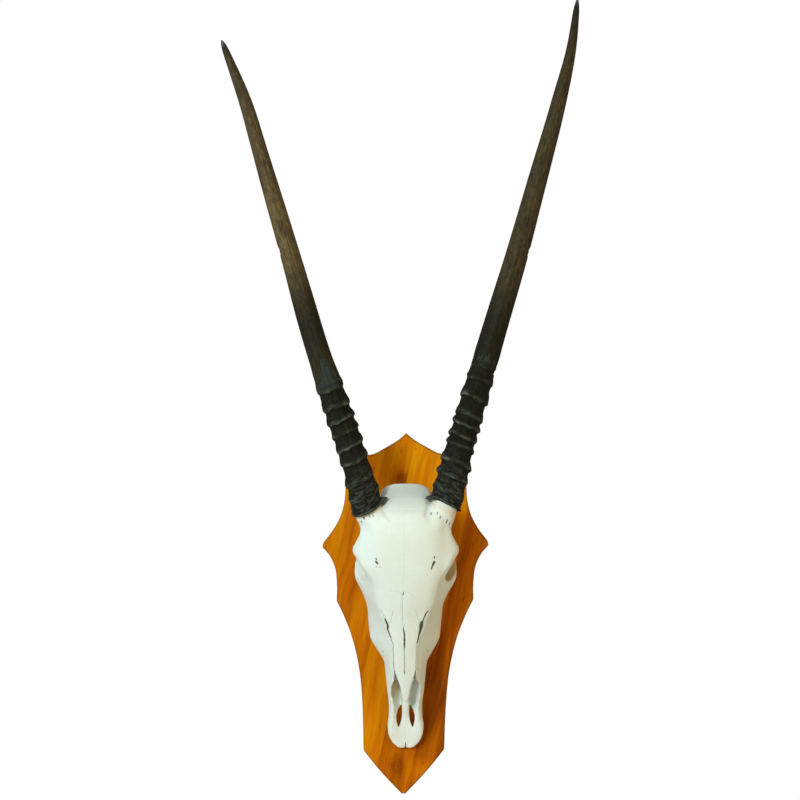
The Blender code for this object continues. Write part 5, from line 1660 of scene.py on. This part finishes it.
def sheath_points(side, spot, turn, sizes):
    """Where each point of the sheath lies, and the marks that its material reads."""
    long = horn_length(side)
    outer = np.clip(spot, 0.0, long)
    levels, back = np.unique(np.round(outer, 4), return_inverse=True)
    frames = [np.array(parts) for parts in zip(*horn_frames(side, levels))]
    centre, along, out, front = (part[back.reshape(-1)] for part in frames)
    share = outer / long
    radius = smooth_line(HORN_RADII[side], share)[:, 0]
    rings, crest, groove = ring_field(side, outer, turn, sizes.ring_share)
    random = np.random.default_rng(RING_SEEDS[side] + 1)
    fade = np.clip((1.0 - share) * 6, 0.0, 1.0)
    flutes = waves(random, turn, outer, *FLUTES) * fade
    swell = waves(random, turn, outer, *SWELL) * fade * ease(outer, 0.0, SWELL_START)
    lumps = waves(random, turn, outer, *LUMPS) * (1 - ease(share, LUMP_END, RING_ZONE))
    surface = radius + rings + flutes + swell + lumps * ease(outer, 0.0, LUMP_START)
    degrees = np.degrees(turn)
    varied, often = CHIP_RAGGED
    ragged = 1 + varied * np.sin(often * turn + outer)
    for at, angle, reach, spread, depth in CHIPS[side]:
        gap = turn_gap(degrees, angle)
        surface -= depth * np.exp(-(((outer - at * long) / reach) ** 4) - ((gap / spread) ** 4)) * ragged
    lip, raised = rim_shape(side, turn)
    surface += lip * (1 - ease(outer, LIP_FULL * LIP_RUN[side], LIP_RUN[side]))
    ledge, cut, wide = RIM_LEDGE
    over = outer - ledge * (1 + waves(random, turn, outer, *LEDGE_WAVES))
    surface -= cut * bump_at(over, wide)
    edge = np.interp(degrees, *np.array(LAYER_EDGE[side]).T)
    edge += LAYER_RAGGED * sum(high * np.sin(count * turn + phase) for high, count, phase in LAYER_WAVES)
    layer = ease(share - edge, 0.0, LAYER_STEP)
    below = np.exp(-np.clip(edge - share, 0.0, 1.0) / LAYER_RUN)
    surface -= LAYER_DEPTH[side] * (1 - layer) * below
    bare = (1 - layer) * ease(share, *(RINGS[side][-1][0] + over_ring for over_ring in BARE_FROM))
    inner = spot < -0.01
    under, wide, strong = LEDGE_EDGE
    crest = np.maximum(crest, strong * bump_at(over + under, wide) * (1 - inner))
    # Painted shade in the rim's groove.
    wide, strong = LEDGE_SHADE
    groove = np.maximum(groove, strong * bump_at(over, wide))
    depth = np.where(inner, -spot, 0.0)
    mouth = np.interp(depth, *np.array(SOCKET_RADII).T)
    radius_now = np.where(inner, mouth, surface)
    dip_front, dip_out = RING_DIP[side]
    tilt = np.clip(1.0 - share / RING_ZONE, 0.0, 1.0) * np.clip(1.0 - depth / SOCKET_DEPTH, 0.0, 1.0)
    slip = -tilt * (dip_front * np.sin(turn) + dip_out * np.cos(turn)) + depth
    slip += raised * np.exp(-(outer + depth) / RIM_RUN)
    around = np.cos(turn)[:, None] * out + np.sin(turn)[:, None] * front
    points = centre + MM * (radius_now[:, None] * around + slip[:, None] * along)
    straight = MM * np.stack([radius * np.cos(turn), radius * np.sin(turn), outer], axis=1)
    brown = np.interp(share, *np.array(BROWN[side]).T) * layer
    return points, {
        "share": share, "crest": crest, "groove": groove * (1 - inner), "bare": bare, "brown": brown,
        "straight": straight,
    }


class TROPHY_OT_horns(bpy.types.Operator):
    """Makes both horn sheaths with their rings, flared rims, chips and flaked layer"""

    bl_idname = "trophy.horns"
    bl_label = "Make the horns"

    def execute(self, context):
        scene = context.scene
        tree = sheath_tree(dark_horn(scene.trophy_colours))
        for side in SIDES:
            make_horn(side, scene.trophy_sizes, tree)
        return {"FINISHED"}


# ---------------------------------------------------------------- the teeth


def tooth_form():
    """One grinding tooth of unit size with two lobes: long in X, wide in Y, its chewing end at Z = 0."""
    work = bmesh.new()
    count = 40
    rib_high, rib_at, rib_wide = TOOTH_RIB
    rings = []
    for high, share in TOOTH_LEVELS:
        ring = []
        for k in range(count):
            t = 2 * math.pi * k / count
            u, v = (math.copysign(abs(part) ** TOOTH_SQUARE, part) for part in (math.cos(t), math.sin(t)))
            lobes = 1 - TOOTH_DENTS[0 if v > 0 else 1] * math.exp(-((u / TOOTH_DENT_WIDE) ** 2))
            rib = rib_high * math.exp(-(((abs(u) - rib_at) / rib_wide) ** 2)) * (v > 0)
            ring.append(Vector((0.5 * u * share, (0.5 * v * lobes + rib * 0.5) * share, high)))
        rings.append(ring)
    loft(work, rings)
    crown = [face for face in work.faces if len(face.verts) == count and face.calc_center_median().z < 0.01]
    for wide, deep in TOOTH_BASIN:
        bmesh.ops.inset_region(work, faces=crown, thickness=wide, depth=deep)
    made = finished("tooth_form", work)
    points = vertex_array(made.data)
    (fold, wide), (root, *span), (basin, reach) = FOLD_STAIN, ROOT_STAIN, BASIN_STAIN
    folds = fold * np.exp(-((points[:, 0] / wide) ** 2)) + root * ease(points[:, 2], *span)
    folds += basin * (np.linalg.norm(points[:, :2], axis=1) < reach)
    attribute(made.data, "fold", np.clip(folds, 0.0, 1.0))
    return made


def tooth_tree(material):
    """A tree that stands a tooth on each point of the jaw, in that point's size."""
    tree, given = geometry_tree("tooth_row", (("Tooth", "NodeSocketObject", None),))
    form = add(tree, "GeometryNodeObjectInfo", {"Object": given.outputs["Tooth"]}, "Geometry")
    size, turn = (
        add(tree, "GeometryNodeInputNamedAttribute", {"Name": name}, "Attribute", data_type="FLOAT_VECTOR")
        for name in ("size", "lean")
    )
    row = add(tree, "GeometryNodeInstanceOnPoints", {
        "Points": given.outputs["Geometry"], "Instance": form, "Rotation": turn, "Scale": size,
    })
    end_tree(tree, row, material)
    return tree


def make_teeth(side, sign, form, tree):
    """The row of six cheek teeth on one side, in one piece."""
    base = bpy.data.meshes.new(f"jaw_{side}")
    low, high = TOOTH_RISE
    base.from_pydata([place(z, sign * x, low) for z, x, _, _ in TEETH], [], [])
    sizes = [((long - TOOTH_SPACE) * MM, -sign * wide * MM, (high - low) * MM) for _, _, long, wide in TEETH]
    attribute(base, "size", sizes)
    attribute(base, "lean", [tuple(TOOTH_TURN.to_euler())] * len(TEETH))
    made = grown(f"cheek_teeth_{side}", base, tree, {"Tooth": form})
    outward(made.data)
    nodes = [f"tooth_{side}_{number + 1}" for number in range(len(TEETH))]
    ready(made, "tooth_enamel", *nodes, smooth_angle=40)


class TROPHY_OT_teeth(bpy.types.Operator):
    """Makes both rows of cheek teeth"""

    bl_idname = "trophy.teeth"
    bl_label = "Make the teeth"

    def execute(self, context):
        tree = tooth_tree(tooth_enamel(context.scene.trophy_colours))
        form = tooth_form()
        for side, sign in SIDES.items():
            make_teeth(side, sign, form, tree)
        bpy.data.objects.remove(form, do_unlink=True)
        return {"FINISHED"}


# ---------------------------------------------------------------- the fixings


def screw_tree(material):
    """A tree that puts a thread round a screw's body, as a spiral swept with a sharp edge."""
    tree, given = geometry_tree("screw_thread", (
        ("Radius", "NodeSocketFloat", 2.0 * MM), ("Pitch", "NodeSocketFloat", 1.9 * MM),
        ("Start", "NodeSocketFloat", 5.0 * MM), ("Length", "NodeSocketFloat", 30.0 * MM),
        ("X", "NodeSocketFloat", 0.0), ("Z", "NodeSocketFloat", 0.0),
    ))
    turns = add(tree, MATHS, {0: given.outputs["Length"], 1: given.outputs["Pitch"]}, operation="DIVIDE")
    core = add(tree, MATHS, {0: given.outputs["Radius"], 1: 0.97}, operation="MULTIPLY")
    spiral = add(tree, "GeometryNodeCurveSpiral", {
        "Resolution": 20, "Rotations": turns, "Start Radius": core, "End Radius": core,
        "Height": given.outputs["Length"],
    })
    edge = add(tree, "GeometryNodeCurvePrimitiveCircle", {"Resolution": 3, "Radius": THREAD_EDGE * MM})
    thread = add(tree, "GeometryNodeCurveToMesh", {"Curve": spiral, "Profile Curve": edge, "Fill Caps": True})
    back = add(tree, MATHS, {0: given.outputs["Start"], 1: -1.0}, operation="MULTIPLY")
    spot = add(tree, "ShaderNodeCombineXYZ", {0: given.outputs["X"], 1: back, 2: given.outputs["Z"]})
    laid = add(tree, "GeometryNodeTransform", {
        "Geometry": thread, "Translation": spot, "Rotation": (math.pi / 2, 0.0, 0.0),
    })
    both = tree.nodes.new("GeometryNodeJoinGeometry")
    tree.links.new(given.outputs["Geometry"], both.inputs[0])
    tree.links.new(laid, both.inputs[0])
    end_tree(tree, both.outputs[0], material)
    return tree


def screw_profile(seat, head, tip, point):
    """A screw's profile as (depth, radius), from its head at the seat to its point at the tip."""
    return [(seat + at, radius) for at, radius in head] + [(tip + at, radius) for at, radius in point]


def turned(name, x, z, profile, slot, sides=40):
    """A turned body with a cross recess in its head: the profile is (depth, radius)."""
    made = round_hole(name, x, z, profile, sides)
    work = bmesh.new()
    for wide, tall in ((slot, CROSS_WIDE * slot), (CROSS_WIDE * slot, slot)):
        cut = bmesh.ops.create_cube(work, size=1.0)
        for vert in cut["verts"]:
            low = profile[0][0] + CROSS_DEEP * slot if vert.co.y < 0 else profile[0][0] - 2.0
            vert.co = MM * Vector((x + vert.co.x * wide, -low, z + vert.co.z * tall))
    tool = finished("cross", work)
    boolean(made, tool, solver="EXACT")
    baked(made, tool)
    return made


def screw_piece(name, x, z, profile, slot, thread, tree):
    """A screw with its head and thread, standing for the node of the same name."""
    body = turned(f"{name}_body", x, z, profile, slot)
    radius, pitch, start, long = thread
    made = grown(f"threaded_{name}", body.data, tree, {
        "Radius": radius, "Pitch": pitch, "Start": start * MM, "Length": long * MM, "X": x * MM, "Z": z * MM,
    })
    bpy.data.objects.remove(body, do_unlink=True)
    ready(made, "zinc_plated_steel", name, smooth_angle=35)


def arc(middle, radius, start, end, pieces):
    """Points (x, z) along an arc."""
    turns = [start + (end - start) * k / pieces for k in range(pieces + 1)]
    return [(middle[0] + radius * math.cos(t), middle[1] + radius * math.sin(t)) for t in turns]


def hanger_plate(material):
    """The pressed keyhole plate with its rounded corners and screw holes."""
    wide, tall, thick = HANGER_SIZE
    outer = []
    for turn, (right, up) in enumerate(((1, 1), (-1, 1), (-1, -1), (1, -1))):
        middle = (right * (wide / 2 - HANGER_CORNER), HANGER_Z + up * (tall / 2 - HANGER_CORNER))
        outer += arc(middle, HANGER_CORNER, turn * math.pi / 2, (turn + 1) * math.pi / 2, 8)
    low = HANGER_Z - KEYHOLE_DROP
    reach = math.asin(KEYHOLE_SLOT / KEYHOLE_RADIUS)
    keyhole = arc((0.0, low), KEYHOLE_RADIUS, math.pi / 2 + reach, 5 * math.pi / 2 - reach, 36)
    keyhole += arc((0.0, low + KEYHOLE_RISE), KEYHOLE_SLOT, 0.0, math.pi, 18)
    loops = [outer, keyhole]
    for side in SIDES.values():
        loops.append(arc((side * HANGER_SCREW_SPREAD, HANGER_Z), HANGER_HOLE_RADIUS, 0.0, 2 * math.pi, 24)[:-1])
    work = bmesh.new()
    edges = []
    for loop in loops:
        verts = [work.verts.new((x * MM, -(PLATE_SINK + thick) * MM, z * MM)) for x, z in loop]
        edges += [work.edges.new((a, b)) for a, b in zip(verts, verts[1:] + verts[:1])]
    bmesh.ops.triangle_fill(work, edges=edges, use_beauty=True)
    lifted = bmesh.ops.extrude_face_region(work, geom=list(work.faces))["geom"]
    back = [part for part in lifted if isinstance(part, bmesh.types.BMVert)]
    bmesh.ops.translate(work, verts=back, vec=(0.0, thick * MM, 0.0))
    made = finished("keyhole_plate", work, material)
    rounded = made.modifiers.new("edges", "BEVEL")
    rounded.width = PLATE_EDGE * MM
    rounded.segments = 2
    rounded.limit_method = "ANGLE"
    baked(made)
    ready(made, "zinc_plated_steel", "hanger_plate", smooth_angle=35)


class TROPHY_OT_fixings(bpy.types.Operator):
    """Makes the keyhole plate and all screws"""

    bl_idname = "trophy.fixings"
    bl_label = "Make the fixings"

    def execute(self, context):
        pitch = context.scene.trophy_sizes.thread_pitch
        steel = zinc_plate(context.scene.trophy_colours)
        tree = screw_tree(steel)
        hanger_plate(steel)
        for name, (z, end) in SKULL_SCREWS.items():
            tip = BOARD_THICKNESS + end
            profile = screw_profile(SCREW_HEAD_SINK, SKULL_SCREW_HEAD, tip, SKULL_SCREW_POINT)
            start, shorter = SKULL_THREAD
            thread = (SCREW_SHANK_RADIUS * MM, pitch, start, tip + shorter)
            screw_piece(name, 0.0, z, profile, SKULL_SCREW_CROSS, thread, tree)
        profile = screw_profile(PLATE_SINK - RECESS_GAP, HANGER_SCREW_HEAD, HANGER_SCREW_END, HANGER_SCREW_POINT)
        thread = (HANGER_SCREW_RADIUS * MM, HANGER_PITCH * pitch, *HANGER_THREAD)
        for side, sign in SIDES.items():
            x = sign * HANGER_SCREW_SPREAD
            screw_piece(f"hanger_screw_{side}", x, HANGER_Z, profile, HANGER_SCREW_CROSS, thread, tree)
        return {"FINISHED"}


# ---------------------------------------------------------------- the stage


def area_light(name, spot, target, size, power, tint):
    """A soft round light that looks at its target."""
    light = bpy.data.lights.new(name, "AREA")
    light.shape = "DISK"
    light.size = size
    light.energy = power
    light.color = linear(tint)
    made = linked(name, light)
    made.location = spot
    made.rotation_euler = (Vector(target) - Vector(spot)).to_track_quat("-Z", "Y").to_euler()


def studio_world(scene):
    """White paper all round: bright behind the object, and softer as light on it."""
    world = bpy.data.worlds.new("white_studio")
    scene.world = world
    world.use_nodes = True
    tree = world.node_tree
    tree.nodes.clear()
    seen = add(tree, "ShaderNodeBackground", {"Color": (1.0, 1.0, 1.0), "Strength": 1.0})
    soft = add(tree, "ShaderNodeBackground", {"Color": linear("#FFF7E2"), "Strength": WORLD_LIGHT})
    by_camera = add(tree, "ShaderNodeLightPath", out="Is Camera Ray")
    both = add(tree, "ShaderNodeMixShader", {0: by_camera, 1: soft, 2: seen})
    add(tree, "ShaderNodeOutputWorld", {"Surface": both})


class TROPHY_OT_studio(bpy.types.Operator):
    """Makes the pale floor, the white surroundings, the lights and the camera"""

    bl_idname = "trophy.studio"
    bl_label = "Make the studio"

    def execute(self, context):
        scene = context.scene
        work = bmesh.new()
        bmesh.ops.create_circle(work, cap_ends=True, radius=FLOOR_RADIUS, segments=96)
        bmesh.ops.translate(work, verts=work.verts, vec=(0.0, 0.0, FLOOR_Z))
        floor = finished("floor", work, studio_floor(scene.trophy_colours))
        studio_world(scene)
        for name, light in LIGHTS.items():
            area_light(name, *light)
        scene.view_settings.view_transform = "Standard"
        lens = bpy.data.cameras.new("front_camera")
        lens.lens = CAMERA_LENS
        lens.sensor_width = CAMERA_SENSOR
        lens.sensor_fit = "AUTO"
        camera = linked("front_camera", lens)
        camera.location = CAMERA_PLACE
        camera.rotation_euler = (math.pi / 2, 0.0, 0.0)
        scene.camera = camera
        return {"FINISHED"}


class TROPHY_PT_panel(bpy.types.Panel):
    """Sizes, colours and makers of the trophy"""

    bl_idname = "TROPHY_PT_panel"
    bl_label = "Horned skull on a shield"
    bl_space_type = "VIEW_3D"
    bl_region_type = "UI"
    bl_category = "Trophy"

    def draw(self, context):
        for settings in (context.scene.trophy_sizes, context.scene.trophy_colours):
            box = self.layout.box()
            for name in settings.__annotations__:
                box.prop(settings, name)
        for operator in OPERATORS:
            self.layout.operator(operator.bl_idname)


OPERATORS = (
    TROPHY_OT_studio, TROPHY_OT_shield, TROPHY_OT_skull, TROPHY_OT_horns, TROPHY_OT_teeth, TROPHY_OT_fixings,
)
CLASSES = (TrophySizes, TrophyColours) + OPERATORS + (TROPHY_PT_panel,)


def register():
    for kind in CLASSES:
        bpy.utils.register_class(kind)
    bpy.types.Scene.trophy_sizes = PointerProperty(type=TrophySizes)
    bpy.types.Scene.trophy_colours = PointerProperty(type=TrophyColours)


def unregister():
    del bpy.types.Scene.trophy_colours
    del bpy.types.Scene.trophy_sizes
    for kind in reversed(CLASSES):
        bpy.utils.unregister_class(kind)


def main():
    register()
    for operator in OPERATORS:
        category, name = operator.bl_idname.split(".")
        getattr(getattr(bpy.ops, category), name)()


if __name__ == "__main__":
    main()
